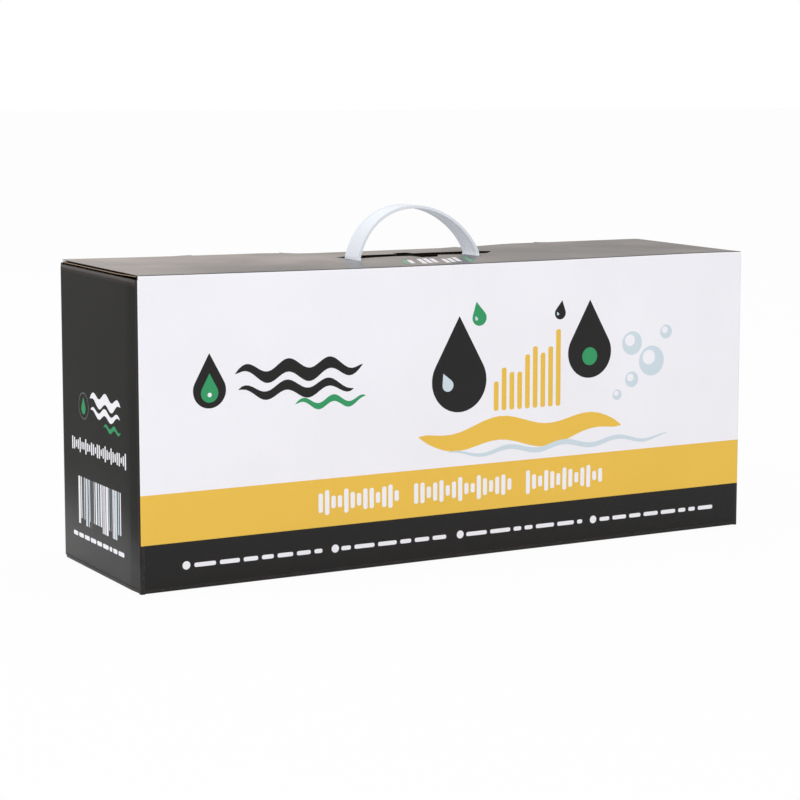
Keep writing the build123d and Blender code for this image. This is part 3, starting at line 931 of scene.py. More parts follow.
def lid():
    """The outer flap with its slot and its two tuck tabs."""
    half = lid_high.x
    back = lid_high.y
    front = FOLD_REACH - HALF_DEPTH
    root = TAB_BACK - FOLD_REACH + TAB_ROOT
    edge = [(-half, front), (half, front), (half, back)]
    for low, high in reversed(tab_boxes):
        right, left = high.x + TAB_NOTCH, low.x - TAB_NOTCH
        edge += [(right, back), (right, root), (left, root), (left, back)]
    edge.append((-half, back))
    back_corners = ((half, back), (-half, back))
    outline = rounded(edge, [LID_CORNER if point in back_corners else 0 for point in edge])
    board(
        "lid_flap", "outer_flap", "outer_flap", lid_surface, [outline, slot_outline()], BLACK,
        # the inner liner's cut edge is painted shade, except near the lid's ends
        thick=lid_thickness, cut=(BLACK, lambda u, v: EDGE if abs(u) > half - 2 * LID_CORNER else SHADED_KRAFT),
    )
    for name, (low, high) in zip(("left", "right"), tab_boxes):
        tuck_tab(name, low, high, root)


def tuck_tab(name, low, high, root):
    """One tuck tab: folded down from the lid's back edge, with rounded lower corners."""
    rows = [(root, HEIGHT, 0.0)]
    for k in range(TAB_BEND_STEPS + 1):
        angle = pi / 2 * k / TAB_BEND_STEPS
        rows.append((high.y - FOLD_RADIUS * (1 - sin(angle)), HEIGHT - FOLD_RADIUS * (1 - cos(angle)), angle))
    for k in range(TAB_ROWS + 1):
        rows.append((high.y, high.z + (low.z - high.z) * k / TAB_ROWS, pi / 2))
    top, bottom = [], []
    for y, z, angle in rows:
        into_corner = max(0.0, TAB_CORNER - (z - low.z))
        pull = TAB_CORNER - sqrt(max(0.0, TAB_CORNER**2 - into_corner**2))
        width = high.x - low.x - 2 * pull
        bend = clamp(1 - abs(angle / (pi / 4) - 1))
        t = BOARD - (BOARD - CRUSHED) * bend
        xs = [low.x + pull + width * k / TAB_COLUMNS for k in range(TAB_COLUMNS + 1)]
        lift = [lid_surface(x, y, 0).z - HEIGHT for x in xs]
        top.append([Vector((x, y, z + up)) for x, up in zip(xs, lift)])
        bottom.append([Vector((x, y - sin(angle) * t, z - cos(angle) * t + up)) for x, up in zip(xs, lift)])
    shape = Shape()
    shape.blanket([row[::-1] for row in top], [row[::-1] for row in bottom], BLACK, BARE, EDGE)
    shape.make(f"lid_tuck_{name}", "outer_flap", FACES, [f"tuck_tab_{name}"], "black_print", move=settle)


INNER_RECESS = 2.6  # by which the inner flap's ends lie behind the lid's
TAB_SLIT = 1.5  # by which the slit for a tuck tab is longer than the tab, at each end
TAB_SLIT_FRONT = 0.8  # and by which it runs on in front of the tab
LEG_SLIT = (1.3, 10.6)  # half the slit for a leg of the handle, along the carton and across it


def inner_flap():
    """The flap folded in under the lid from the back wall, slit for the tuck tabs and the handle's legs."""
    half = inner_high.x - INNER_RECESS
    free = inner_low.y
    back = HALF_DEPTH - FOLD_REACH
    edge = [(-half, free), (half, free), (half, back)]
    slit_front = TAB_BACK - BOARD - TAB_SLIT_FRONT
    for low, high in reversed(tab_boxes):
        right, left = high.x + TAB_SLIT, low.x - TAB_SLIT
        edge += [(right, back), (right, slit_front), (left, slit_front), (left, back)]
    edge.append((-half, back))
    handle_y = (strap_low.y + strap_high.y) / 2
    along, across = LEG_SLIT
    slits = [rectangle(x - along, x + along, handle_y - across, handle_y + across) for x in LEGS]
    board(
        "under_flap", "inner_flap", "inner_flap",
        lambda u, v, w: Vector((u, v, INNER_TOP + w - slot_dip(u, v))), [edge, *slits], BLACK,
        # the inner liner's cut edge is painted shade
        cut=(BLACK, SHADED_KRAFT),
    )


def dust_flaps():
    """The two end flaps, tapered so that they swing clear of the flaps above them."""
    for name, side in (("left", -1), ("right", 1)):
        low, high = node_box(f"dust_flap_{name}")
        tip = HALF_LENGTH - min(abs(low.x), abs(high.x))
        root = 2 * FOLD_REACH
        edge = HALF_DEPTH - FOLD_REACH
        # distances in from the wall, then along the depth
        points = [
            (FOLD_REACH, -edge),
            (root, -edge),
            (tip, root / 2 - HALF_DEPTH + tip / 2),
            (tip, HALF_DEPTH - tip - 1),
            (root, edge - FOLD_REACH / 2),
            (FOLD_REACH, edge),
        ]
        bleed = side * (HALF_LENGTH - PRINT_BLEED)
        # the flutes run away from the fold, so u is along the depth
        outline = [(b, side * (HALF_LENGTH - a)) for a, b in points]
        board(
            f"end_flap_{name}", f"dust_flap_{name}", f"dust_flap_{name}",
            lambda u, v, w: Vector((v, u, DUST_TOP + w)), [outline],
            lambda u, v: BLACK if abs(v) > HALF_LENGTH - PRINT_BLEED else BARE,
            [[(PRINT_BLEED - HALF_DEPTH, bleed), (HALF_DEPTH - PRINT_BLEED, bleed)]], finish="plain_board",
        )


def bottom_flaps():
    """The floor of the carton: the end flaps innermost, then the back's, then the front's."""
    reach = HALF_LENGTH - FLOOR_RAMP
    for name, wall, face in (("outer", "front", BLACK), ("inner", "back", BARE)):
        low, high = node_box(f"bottom_flap_{name}")
        near = low.y + FOLD_REACH if wall == "front" else low.y
        far = high.y if wall == "front" else high.y - FOLD_REACH
        board(
            f"floor_{wall}", f"bottom_flap_{name}", "carton",
            lambda u, v, w, z=low.z: Vector((-u, v, z - w)), [rectangle(-reach, reach, near, far)], face,
        )
    for name, side in (("left", -1), ("right", 1)):
        low, high = node_box(f"bottom_flap_{name}")
        near, far = (-reach, high.x) if side < 0 else (low.x, reach)
        board(
            f"floor_{name}", f"bottom_flap_{name}", "carton",
            lambda u, v, w, z=low.z: Vector((v, u, z - w)), [rectangle(low.y, high.y, near, far)], BARE,
        )


def folds():
    """The scored folds above and below the walls."""
    lid = (lid_low.x, lid_high.x)
    long = (FOLD_REACH - HALF_LENGTH, HALF_LENGTH - FOLD_REACH)
    short = (FOLD_REACH - HALF_DEPTH, HALF_DEPTH - FOLD_REACH)
    creases = [way * (HALF_DEPTH - CREASE_INSET + k) for way in (-1, 1) for k in CREASE_EDGES]
    down, up = Vector((0, 0, -1)), Vector((0, 0, 1))
    front_in, back_in = Vector((0, 1, 0)), Vector((0, -1, 0))

    def white_to_black(middle, past):
        return BLACK if past else WHITE

    def all_black(middle, past):
        return BLACK

    strip(
        "fold_lid", ("carton", "outer_flap"), (0, -HALF_DEPTH, HEIGHT), down, front_in, lid, white_to_black,
        thick=(BOARD, LID_CRUSHED), finish="front_print",
    )
    strip(
        "fold_under", ("carton", "inner_flap"), (0, HALF_DEPTH, INNER_TOP), down, back_in, lid,
        white_to_black, finish="front_print",
    )
    strip("fold_floor_front", "carton", (0, -HALF_DEPTH, 0), up, front_in, long, all_black)
    strip("fold_floor_back", "carton", (0, HALF_DEPTH, BACK_FOOT), up, back_in, long, all_black)
    for name, side in (("left", -1), ("right", 1)):
        inward = Vector((-side, 0, 0))
        foot, top = (side * HALF_LENGTH, 0, 0), (side * HALF_LENGTH, 0, DUST_TOP)
        strip(
            f"fold_end_{name}", ("carton", f"dust_flap_{name}"), top, down, inward, short, all_black,
            levels=creases, crest=FOLD_CREST,
        )
        strip(
            f"fold_floor_{name}", "carton", foot, up, inward, short, all_black, levels=creases,
            climb=(2 * BOARD, FLOOR_RAMP),
        )


walls()
corners()
lid()
inner_flap()
dust_flaps()
bottom_flaps()
folds()


# Printing -------------------------------------------------------------------------------------------------

PRINTS = [white_print, yellow_print, black_print, green_print, pale_print, grey_print]
IN_WHITE, IN_YELLOW, IN_BLACK, IN_GREEN, IN_PALE, IN_GREY = range(len(PRINTS))
INK_PROUD = 0.05  # the height of each layer of ink over the board
INK_SUNK = 0.05
DROP_POINT = 2.1  # the height of a drop's point over its belly's middle, in radii
WAVE_STEPS = 12  # in each period of a ribbon
WAVE_TIP = 0.002  # keeps the ends of a ribbon from shrinking to nothing
STRIPE_STEP = 4.0
LOUDNESS, SWELL, FLICKER, QUIETEST = 0.7, 0.28, 0.12, 0.36  # of a run of sound bars, in its tallest bar


def drop(u, v, radius, lean=0.0):
    """The outline of a drop: a round belly with a point above it, leaning by an angle in degrees."""
    turn = radians(lean)
    open_angle = acos(1 / DROP_POINT)
    steps = max(12, round(radius * 2.5))
    angles = [pi / 2 + open_angle + (tau - 2 * open_angle) * k / steps for k in range(steps + 1)]
    ring = [(0.0, DROP_POINT * radius)] + [(radius * cos(a), radius * sin(a)) for a in angles]
    return [(u + x * cos(turn) - y * sin(turn), v + x * sin(turn) + y * cos(turn)) for x, y in ring]


def disc(u, v, radius):
    """A round outline."""
    steps = max(14, round(radius * 4))
    return [(u + radius * cos(tau * k / steps), v + radius * sin(tau * k / steps)) for k in range(steps)]


def bar(u, low, high, width):
    """The outline of an upright bar with round ends."""
    half = width / 2
    return rounded(rectangle(u - half, u + half, low, high), 0.9 * half, 3)


class Print(Shape):
    """Ink on one surface of the carton; at gives the place of (u, v, height over the surface)."""

    def __init__(self, at):
        super().__init__()
        self.at = at

    def fill(self, outline, ink_slot, layer=0):
        """A filled outline, in a layer over the ones before it."""
        over = INK_PROUD * (1 + layer)
        top = [self.at(u, v, over) for u, v in outline]
        self.prism(top, [self.at(u, v, -INK_SUNK) for u, v in outline], ink_slot)

    def ribbon(self, rows, ink_slot, layer=0):
        """Ink over a grid of places, given as rows."""
        over = INK_PROUD * (1 + layer)
        top = [[self.at(*place, over) for place in row] for row in rows]
        self.blanket(top, [[self.at(*place, -INK_SUNK) for place in row] for row in rows], ink_slot)

    def wave(self, start, end, level, thick, swing, period, ink_slot, layer=0, phase=0.0):
        """A ribbon that swings up and down, and narrows to a point at both ends."""
        count = max(8, round((end - start) / (period / WAVE_STEPS)))
        rows = []
        for k in range(count + 1):
            u = start + (end - start) * k / count
            middle = level + swing * sin(tau * (u - start) / period + phase)
            half = thick / 2 * sqrt(max(WAVE_TIP, sin(pi * k / count)))
            rows.append([(u, middle - half), (u, middle), (u, middle + half)])
        self.ribbon(rows, ink_slot, layer)

    def stripe(self, start, end, width, ink_slot):
        """A straight stripe between two points, following a bent surface."""
        start, end = Vector(start), Vector(end)
        count = max(2, round((end - start).length / STRIPE_STEP))
        across = (end - start).orthogonal().normalized() * width / 2
        rows = []
        for k in range(count + 1):
            middle = start.lerp(end, k / count)
            rows.append([middle - across, middle + across])
        self.ribbon(rows, ink_slot)

    def sound(self, start, end, level, tall, pitch, ink_slot, seed, width=0.57):
        """A run of bars of changing height about one level, as a sound level meter draws them.

        width is that of a bar, in pitches.
        """
        chance = random.Random(seed)
        count = max(2, round((end - start) / pitch))
        for k in range(count):
            u = start + (k + 0.5) * (end - start) / count
            loudness = LOUDNESS + SWELL * sin(1.9 * k + seed) + chance.uniform(-FLICKER, FLICKER)
            height = tall * clamp(loudness, QUIETEST)
            self.fill(bar(u, level - height / 2, level + height / 2, width * pitch), ink_slot)

    def dashes(self, start, end, level, tall, ink_slot, seed, long=(5.0, 15.0), gap=2.4):
        """A run of round-ended dashes of changing length."""
        chance = random.Random(seed)
        u = start
        while u < end - long[0] / 2:
            length = min(chance.uniform(*long), end - u)
            dash = rectangle(u, u + length, level - tall / 2, level + tall / 2)
            self.fill(rounded(dash, 0.45 * tall, 3), ink_slot)
            u += length + gap

    def drop_with_light(self, u, v, radius, ink_slot, lean=0.0):
        """A drop with a pale highlight on its belly."""
        self.fill(drop(u, v, radius, lean), ink_slot)
        self.fill(drop(u - 0.42 * radius, v - 0.12 * radius, 0.2 * radius, 24), IN_PALE, 1)

    def printed(self, name, body="carton", finish="front_print"):
        """The ink as a piece of its own."""
        self.make(name, body, PRINTS, slot=finish, move=settle)


# The places of each print are in millimetres to the right and up from the middle of its wall's foot

MARK_X = -166  # the middle of the large drop


def drop_mark(name, at):
    """A large drop beside three ribbons of water."""
    ink = Print(at)
    ink.fill(drop(MARK_X, 113, 10.2), IN_BLACK)
    ink.fill(drop(MARK_X, 111.5, 5.4), IN_GREEN, 1)
    ink.fill(disc(MARK_X, 110.5, 1.3), IN_WHITE, 2)
    ink.wave(-150, -68, 121.5, 8.0, 3.2, 27, IN_BLACK)
    ink.wave(-148, -74, 110.5, 6.0, 2.8, 27, IN_BLACK, phase=0.7)
    ink.wave(-112, -66, 101.5, 4.0, 2.2, 20, IN_GREEN)
    ink.printed(f"{name}_drop_mark")


SOUND_RUNS = ((-98, -43), (-34, 36), (45, 103))
SOUND_LEVEL = 42.0  # the middle of the yellow band
# On the black band: the middle of each dot, and the ends of the dashes after it
DOT_LINES = ((-181.4, -176.5, -94.9), (-86.4, -82.4, -9.5), (-1.1, 3.2, 87.6), (95.8, 100.7, 188.7))


def band_print(name, at):
    """White bars on the yellow band, and rows of dots and dashes on the black one."""
    ink = Print(at)
    for seed, (start, end) in enumerate(SOUND_RUNS):
        ink.sound(start, end, SOUND_LEVEL, 14.7, 4.3, IN_WHITE, seed, width=0.66)
    ink.printed(f"{name}_sound_bars")
    lines = Print(at)
    for seed, (dot, start, end) in enumerate(DOT_LINES):
        lines.fill(disc(dot, 14.1, 2.45), IN_WHITE)
        lines.dashes(start, end, 13.8, 2.5, IN_WHITE, seed)
    lines.printed(f"{name}_dot_lines")


BUBBLES = ((124, 124, 7.5), (139, 112, 9.5), (124, 101, 5), (150, 130, 4.5), (113, 92, 3.4))


def washing_picture(name, at):
    """Drops and bubbles over a yellow wave, with a rising row of bars between them."""
    ink = Print(at)
    ink.wave(-30, 116, 74, 15, 3.4, 68, IN_YELLOW, phase=2.6)
    ink.wave(-10, 152, 63.5, 3.2, 1.8, 40, IN_PALE, 1, phase=1.0)
    foot = 88
    for k in range(9):
        height = 18 + 3.2 * k + 5 * sin(1.7 * k)
        ink.fill(bar(24 + 5.6 * k, foot, foot + height, 3.4), IN_YELLOW)
    ink.drop_with_light(-2, 108, 19, IN_BLACK)
    ink.fill(drop(92, 120, 16), IN_BLACK)
    ink.fill(disc(92, 117.5, 5.6), IN_GREEN, 1)
    ink.drop_with_light(12, 146, 5, IN_GREEN, 12)
    ink.drop_with_light(70, 146, 4, IN_BLACK, -10)
    for u, v, radius in BUBBLES:
        ink.fill(disc(u, v, radius), IN_PALE)
        ink.fill(disc(u - 0.22 * radius, v + 0.24 * radius, 0.5 * radius), IN_WHITE, 1)
    ink.printed(f"{name}_washing_picture")


END_MARK = (-23.5, 97)
LADDER_ENDS = (-34.0, 33.0)
LADDER_FOOT, LADDER_TOP = 25.5, 54
LADDER_STEP = 3.5  # by which most of its lines end higher than the others
LADDER_SHORT = 0.7  # the share of those lines
LADDER_WIDTHS = (0.9, 1.4, 2.2, 3.0)
LADDER_GAPS = (0.7, 1.1, 1.6)


def end_print(name, at):
    """The print of an end wall: a drop and ribbons, bars, an upright ladder of lines, and dashes."""
    ink = Print(at)
    ink.fill(disc(*END_MARK, 8.0), IN_GREY)
    ink.fill(disc(*END_MARK, 7.3), IN_BLACK, 1)
    ink.fill(drop(END_MARK[0], 95.4, 3.3), IN_GREEN, 2)
    ink.wave(-13, 34, 103, 6.4, 2.0, 19, IN_WHITE)
    ink.wave(-12, 33, 95.5, 4.0, 1.8, 19, IN_WHITE, phase=0.6)
    ink.wave(8, 34, 88.5, 2.8, 1.3, 13, IN_GREEN)
    ink.sound(-44, 42, 73, 9.5, 3.1, IN_WHITE, 7)
    chance = random.Random(11)
    u = LADDER_ENDS[0]
    while u < LADDER_ENDS[1]:
        width = chance.choice(LADDER_WIDTHS)
        low = LADDER_FOOT + (LADDER_STEP if chance.random() < LADDER_SHORT else 0.0)
        colour = chance.choice((IN_WHITE, IN_PALE, IN_GREY, IN_WHITE))
        ink.fill(rectangle(u, u + width, low, LADDER_TOP), colour)
        u += width + chance.choice(LADDER_GAPS)
    ink.dashes(-43, 39, 18.5, 2.6, IN_WHITE, 5, long=(4.0, 9.0), gap=1.6)
    ink.printed(f"{name}_end_print", finish="black_print")


LID_BARS = 9
LID_BAR_PITCH = 5.4
LID_BAR_LEAN = 0.42


def lid_mark():
    """A row of leaning bars in front of the slot, white between green ones.

    Its places are along and across the lid, from the carton's centre.
    """
    ink = Print(lid_surface)
    for k in range(LID_BARS):
        low = -47 + 3 * sin(2.1 * k)
        high = -19 - 4 * sin(1.3 * k + 1)
        foot = -31 + LID_BAR_PITCH * k
        colour = IN_GREEN if k in (0, LID_BARS - 1) else IN_WHITE
        ink.stripe((foot, low), (foot + LID_BAR_LEAN * (high - low), high), 2.7, colour)
    ink.printed("lid_mark", "outer_flap", "black_print")


for face_name, face_place in (("front", on_front), ("back", on_back)):
    drop_mark(face_name, face_place)
    band_print(face_name, face_place)
    washing_picture(face_name, face_place)
end_print("left", on_left)
end_print("right", on_right)
lid_mark()


# Carry handle ---------------------------------------------------------------------------------------------

# Its base colour is dimmed and a painted glow (emission) added, standing in for the light that the milky plastic
# lets through
handle_plastic = moulded(
    "handle_plastic", srgb(180, 184, 190), gloss=0.5, grain=0.2, rub=0.06, bump=0.02,
    Emission_Color=srgb(235, 239, 246), Emission_Strength=0.38,
)

RIM = 1.6  # the raised edges along the strap
RIM_STEP = 0.5  # the slope from them to the channel between
CHANNEL = 0.42  # how far its middle lies below them
STRAP_BEVEL = 0.3
RIBS = (-3.2, 0.0, 3.2)  # on its underside
RIB_FOOT, RIB_TOP = 0.7, 0.35  # half the width of a rib
RIB_SUNK = 0.05  # by which it stays within the strap's thickness
SHOULDER = 3.6  # the height of the thicker stop at each leg's foot
SHOULDER_SWELL = 1.12
SHOULDER_START = 2.5  # how far below the lid it begins
SHOULDER_EASE = 0.8  # over which it ends
LEG_STEPS, ARCH_STEPS = 4, 64
LEG_TOP = 0.6  # how far below the lid the legs end and the arch begins
ARCH_LEAN = 4.2  # of the arch's top, towards the left
ARCH_LEAN_CURVE = 1.3
ARCH_WAIST = 0.86  # of the strap's width between the flaps
ARCH_WAIST_HEIGHT = 4.0  # below the lid, over which the strap narrows to that
END_SINK = 1.75  # by which the ends lie lower than the flap at rest would leave them
END_OVERLAP = 0.2  # by which the legs run down into the ends


def strap_section(half_width):
    """The strap across its length, as (across, out) pairs: raised rims outside, and ribs inside."""
    thin = STRAP / 2
    outer = [(-half_width, thin - STRAP_BEVEL), (STRAP_BEVEL - half_width, thin), (RIM - half_width, thin)]
    outer.append((RIM + RIM_STEP - half_width, thin - CHANNEL))
    rim_points = len(outer)
    outer += [(-across, out) for across, out in reversed(outer)]
    inner = [(across, -out) for across, out in reversed(outer)]
    ribs = []
    for rib in reversed(RIBS):
        ribs += [(rib + RIB_FOOT, CHANNEL - thin), (rib + RIB_TOP, RIB_SUNK - thin)]
        ribs += [(rib - RIB_TOP, RIB_SUNK - thin), (rib - RIB_FOOT, CHANNEL - thin)]
    return outer + inner[:rim_points] + ribs + inner[rim_points:]


def carry_strap():
    """The strap, bent into an arc between two upright legs that run down through the flaps.
    """
    half_width = (strap_high.y - strap_low.y) / 2
    middle_y = (strap_low.y + strap_high.y) / 2
    centre = sum(LEGS) / 2
    half_span = (LEGS[1] - LEGS[0]) / 2
    rise = strap_high.z - HEIGHT - STRAP / 2
    radius = (half_span**2 + rise**2) / (2 * rise)
    foot = acos(1 - rise / radius)
    section = strap_section(half_width)
    foot_z = HEIGHT - LEG_TOP
    leg_bottom = strap_low.z - END_SINK - END_OVERLAP
    # the middle line of the right half, then of the left, with the way in which the outer face looks
    stations = []
    for k in range(LEG_STEPS + 1):
        stations.append((half_span, leg_bottom + (foot_z - leg_bottom) * k / LEG_STEPS, 1.0, 0.0))
    for k in range(ARCH_STEPS // 2 + 1):
        angle = foot * (1 - 2 * k / ARCH_STEPS)
        out, up = sin(angle), cos(angle)
        stations.append((radius * out, HEIGHT + rise - radius * (1 - up), out, up))
    stations += [(-x, z, -nx, nz) for x, z, nx, nz in reversed(stations[:-1])]
    rings = []
    for x, z, nx, nz in stations[::-1]:
        above = z - HEIGHT
        stop = smooth(above + SHOULDER_START) * smooth((SHOULDER + SHOULDER_EASE - above) / SHOULDER_EASE)
        swell = 1 + (SHOULDER_SWELL - 1) * stop
        waist = 1 - (1 - ARCH_WAIST) * smooth(above / ARCH_WAIST_HEIGHT + 1)
        lean = ARCH_LEAN * max(0, above / rise) ** ARCH_LEAN_CURVE
        out = [(p * waist, q * swell) for p, q in section]
        rings.append([Vector((centre - lean + x + nx * q, middle_y + p, z + nz * q)) for p, q in out])
    arc = Shape()
    arc.tube(rings[LEG_STEPS:-LEG_STEPS])
    strap = arc.make("carry_strap", "handle", [handle_plastic], ["carry_handle"], "handle_plastic")
    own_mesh(strap)
    legs = Shape()
    legs.tube(rings[:LEG_STEPS + 1])
    legs.tube(rings[-LEG_STEPS - 1:])
    sliding = legs.make("strap_legs", None, [handle_plastic], slot="handle_plastic")
    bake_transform(sliding)


END_CORNER = 2.4
# From the top edge of an end round its rim to the hollow below: (inset, depth below its top)
END_RIM = ((0.5, 0.0), (0.0, 0.4), (0.0, 2.0), (0.3, 2.4), (1.3, 2.4), (1.6, 1.2))
END_RIBS = (0.2, 0.4, 0.6, 0.8)  # of the end's length
END_RIB_DEPTH = (1.0, 2.1)  # where the ribs begin and end below its top
END_SPINE_DEPTH = (1.0, 2.2)
END_RIB_INSET = 1.2
END_RIB_HALF, END_SPINE_HALF = 0.4, 0.5  # their widths


def strap_ends():
    """The strap's ends: flat plates that hold it under the pressed flaps, with a rim and ribs below."""
    for side in ("left", "right"):
        low, high = node_box(f"handle_end_{side}")
        top = high.z - END_SINK
        rings = []
        for inset, down in END_RIM:
            plan = rectangle(low.x + inset, high.x - inset, low.y + inset, high.y - inset)
            rings.append([(x, y, top - down) for x, y in rounded(plan, END_CORNER - inset, 4)])
        end = Shape()
        end.tube(rings)
        left, right = low.x + END_RIB_INSET, high.x - END_RIB_INSET
        bars = []
        for share in END_RIBS:
            y = low.y + (high.y - low.y) * share
            bars.append((rectangle(left, right, y - END_RIB_HALF, y + END_RIB_HALF), END_RIB_DEPTH))
        middle, half = (low.x + high.x) / 2, END_SPINE_HALF
        spine = rectangle(middle - half, middle + half, low.y + END_RIB_INSET, high.y - END_RIB_INSET)
        bars.append((spine, END_SPINE_DEPTH))
        for plan, (start, stop) in bars:
            end.prism([(*p, top - start) for p in plan], [(*p, top - stop) for p in plan])
        end.make(f"strap_end_{side}", "handle", [handle_plastic], [f"handle_end_{side}"], "handle_plastic")


carry_strap()
strap_ends()


# Kit in the carton ----------------------------------------------------------------------------------------


def looped_pile_group():
    """Knitted cloth: rows of small raised loops, with a little lint and shade between them."""
    tree, given, result, place = surface_group(
        "looped_pile",
        {"Yarn": (0.8, 0.8, 0.8, 1.0), "Shade": 0.75, "Size": 900.0},
    )
    loops = node(tree, "ShaderNodeTexVoronoi", inputs={"Randomness": 0.75})
    tree.links.new(place, loops.inputs["Vector"])
    tree.links.new(given["Size"], loops.inputs["Scale"])
    raised = spread(tree, loops.outputs["Distance"], 0.0, 0.7, 1.0, 0.0)
    lint = noise(tree, place, 240.0, 4.0, 0.6)
    valley = spread(tree, raised, 0.15, 0.7, given["Shade"], 1.0)
    tone = worked(tree, "MULTIPLY", valley, spread(tree, lint, 0.3, 0.7, 0.95, 1.03))
    tree.links.new(toned(tree, given["Yarn"], tone), result["Color"])
    tree.links.new(spread(tree, lint, 0.3, 0.7, 0.86, 0.98), result["Roughness"])
    tree.links.new(worked(tree, "ADD", raised, worked(tree, "MULTIPLY", lint, 0.5)), result["Height"])
    return tree


looped_pile = looped_pile_group()

yellow_plastic = moulded("yellow_plastic", srgb(234, 186, 54), gloss=0.26, grain=0.25, rub=0.16, bump=0.05)
amber_plastic = moulded("amber_plastic", srgb(226, 170, 58), gloss=0.3, grain=0.3, rub=0.14, bump=0.05)
pale_plastic = moulded("pale_plastic", srgb(231, 231, 224), gloss=0.34, grain=0.35, rub=0.12, bump=0.06)
tyre_rubber = moulded("tyre_rubber", srgb(32, 32, 34), gloss=0.68, grain=0.9, rub=0.15, bump=0.25)
clear_plastic = moulded(
    "clear_plastic", srgb(240, 244, 246), gloss=0.16, grain=0.2, rub=0.16, bump=0.04,
    Transmission_Weight=0.7, IOR=1.46,
)
blue_fluid = moulded(
    "blue_fluid", srgb(172, 214, 230), gloss=0.04, grain=0.0, rub=0.0, bump=0.01,
    Transmission_Weight=1.0, IOR=1.34,
)
white_paper = fibrous("white_paper", srgb(241, 241, 237), srgb(222, 221, 214), amount=0.4, bump=0.12)
black_bristle = fibrous(
    "black_bristle", srgb(30, 30, 32), srgb(64, 64, 66), amount=0.3, bump=0.3,
    Sheen_Weight=0.3, Sheen_Roughness=0.4,
)
microfibre = material(
    "microfibre", looped_pile, {"Yarn": srgb(240, 240, 241), "Shade": 0.72, "Size": 1100.0},
    bump=0.6, distance=0.0004, Sheen_Weight=0.35, Sheen_Roughness=0.5,
)


EDGE_STEPS = 2
EDGE_ANGLE = radians(30)  # from which an edge is softened


def dress(finish, *names, edge=0.0):
    """Gives CAD nodes of the right shape their finish, and softens their edges where it is moulded."""
    for name in names:
        piece = frame["nodes"][name]
        for place in piece.material_slots:
            place.material = finish
        if edge:
            soft = piece.modifiers.new("moulded_edge", "BEVEL")
            soft.width = edge * MM
            soft.segments = EDGE_STEPS
            soft.limit_method = "ANGLE"
            soft.angle_limit = EDGE_ANGLE


dress(yellow_plastic, "wash_basin", "rack_base", "brush_back_front", "brush_back_back", edge=0.5)
dress(yellow_plastic, "roller_left", "roller_right")
dress(amber_plastic, "rack_posts_front", "rack_posts_back", edge=0.5)
dress(pale_plastic, "rack_post_tips", edge=0.4)
dress(pale_plastic, "pump_collar_left", "pump_collar_right", "spray_head_left", "spray_head_right")
dress(tyre_rubber, "roller_tyre_left", "roller_tyre_right")
dress(clear_plastic, "bottle_left", "bottle_right", "bottle_cap_left", "bottle_cap_right")
dress(blue_fluid, "fluid_left", "fluid_right")
dress(white_paper, "bottle_label_left", "bottle_label_right")

FELT = 1.2  # the backing's thickness
FELT_CORNER = 4.0
TUFT_PITCH = 2.2
TUFT_WIDTH = 1.9
TUFT_SIDES = 5
TUFT_SHORT = 0.78  # of the full reach, at the pile's edge
TUFT_EDGE = 5.0  # over which the tufts grow to it
TUFT_RAGGED = 0.5  # by which a tuft falls short
TUFT_LEAN = 0.35
TUFT_SUNK = 0.3  # into the felt
TUFT_TURN = 0.7  # radians from each row of tufts to the next
TUFT_OUTLINE = ((0.0, 0.8), (0.6, 1.0), (0.93, 0.85), (1.0, 0.35))  # from root to tip: (share, width)


def brush_pile(name, towards):
    """Close tufts of bristle on a felt backing, standing out from their strip towards the other brush."""
    low, high = node_box(f"brush_pile_{name}")
    chance = random.Random(name)
    root, tip = (low.y, high.y) if towards > 0 else (high.y, low.y)
    felt = root + towards * FELT
    shape = Shape()
    corners = rounded(rectangle(low.x, high.x, low.z, high.z), FELT_CORNER, 5)
    ring = corners if towards < 0 else corners[::-1]
    shape.prism([(x, felt, z) for x, z in ring], [(x, root, z) for x, z in ring])
    across = int((high.x - low.x - TUFT_WIDTH) / TUFT_PITCH)
    along = int((high.z - low.z - TUFT_WIDTH) / TUFT_PITCH)
    for i in range(across + 1):
        for j in range(along + 1):
            x = low.x + TUFT_WIDTH / 2 + (high.x - low.x - TUFT_WIDTH) * i / across
            z = low.z + TUFT_WIDTH / 2 + (high.z - low.z - TUFT_WIDTH) * j / along
            edge = min(x - low.x, high.x - x, z - low.z, high.z - z)
            full = TUFT_SHORT + (1 - TUFT_SHORT) * smooth(edge / TUFT_EDGE)
            reach = abs(tip - felt) * full - chance.uniform(0, TUFT_RAGGED)
            lean_x, lean_z = chance.uniform(-TUFT_LEAN, TUFT_LEAN), chance.uniform(-TUFT_LEAN, TUFT_LEAN)
            rings = []
            for share, size in TUFT_OUTLINE:
                ring = []
                for k in range(TUFT_SIDES):
                    angle = -towards * tau * k / TUFT_SIDES + TUFT_TURN * i + j
                    u = x + lean_x * share + size * TUFT_WIDTH / 2 * cos(angle)
                    w = z + lean_z * share + size * TUFT_WIDTH / 2 * sin(angle)
                    ring.append(Vector((u, felt - towards * TUFT_SUNK + towards * reach * share, w)))
                rings.append(ring)
            shape.tube(rings)
    shape.make(f"bristles_{name}", "carton", [black_bristle], [f"brush_pile_{name}"], "brush_pile", sharp=60)


brush_pile("front", 1)
brush_pile("back", -1)

CLOTH_THICK = 2.2
CLOTH_LAYERS = 5
CLOTH_INSET = 1.5  # of its sides from the CAD node's
CLOTH_COLUMNS = 18
CLOTH_RIPPLE = 0.25
CLOTH_FRAY = 0.6  # of its two open sides
LAYER_STEPS = 7
TURN_STEPS = 6


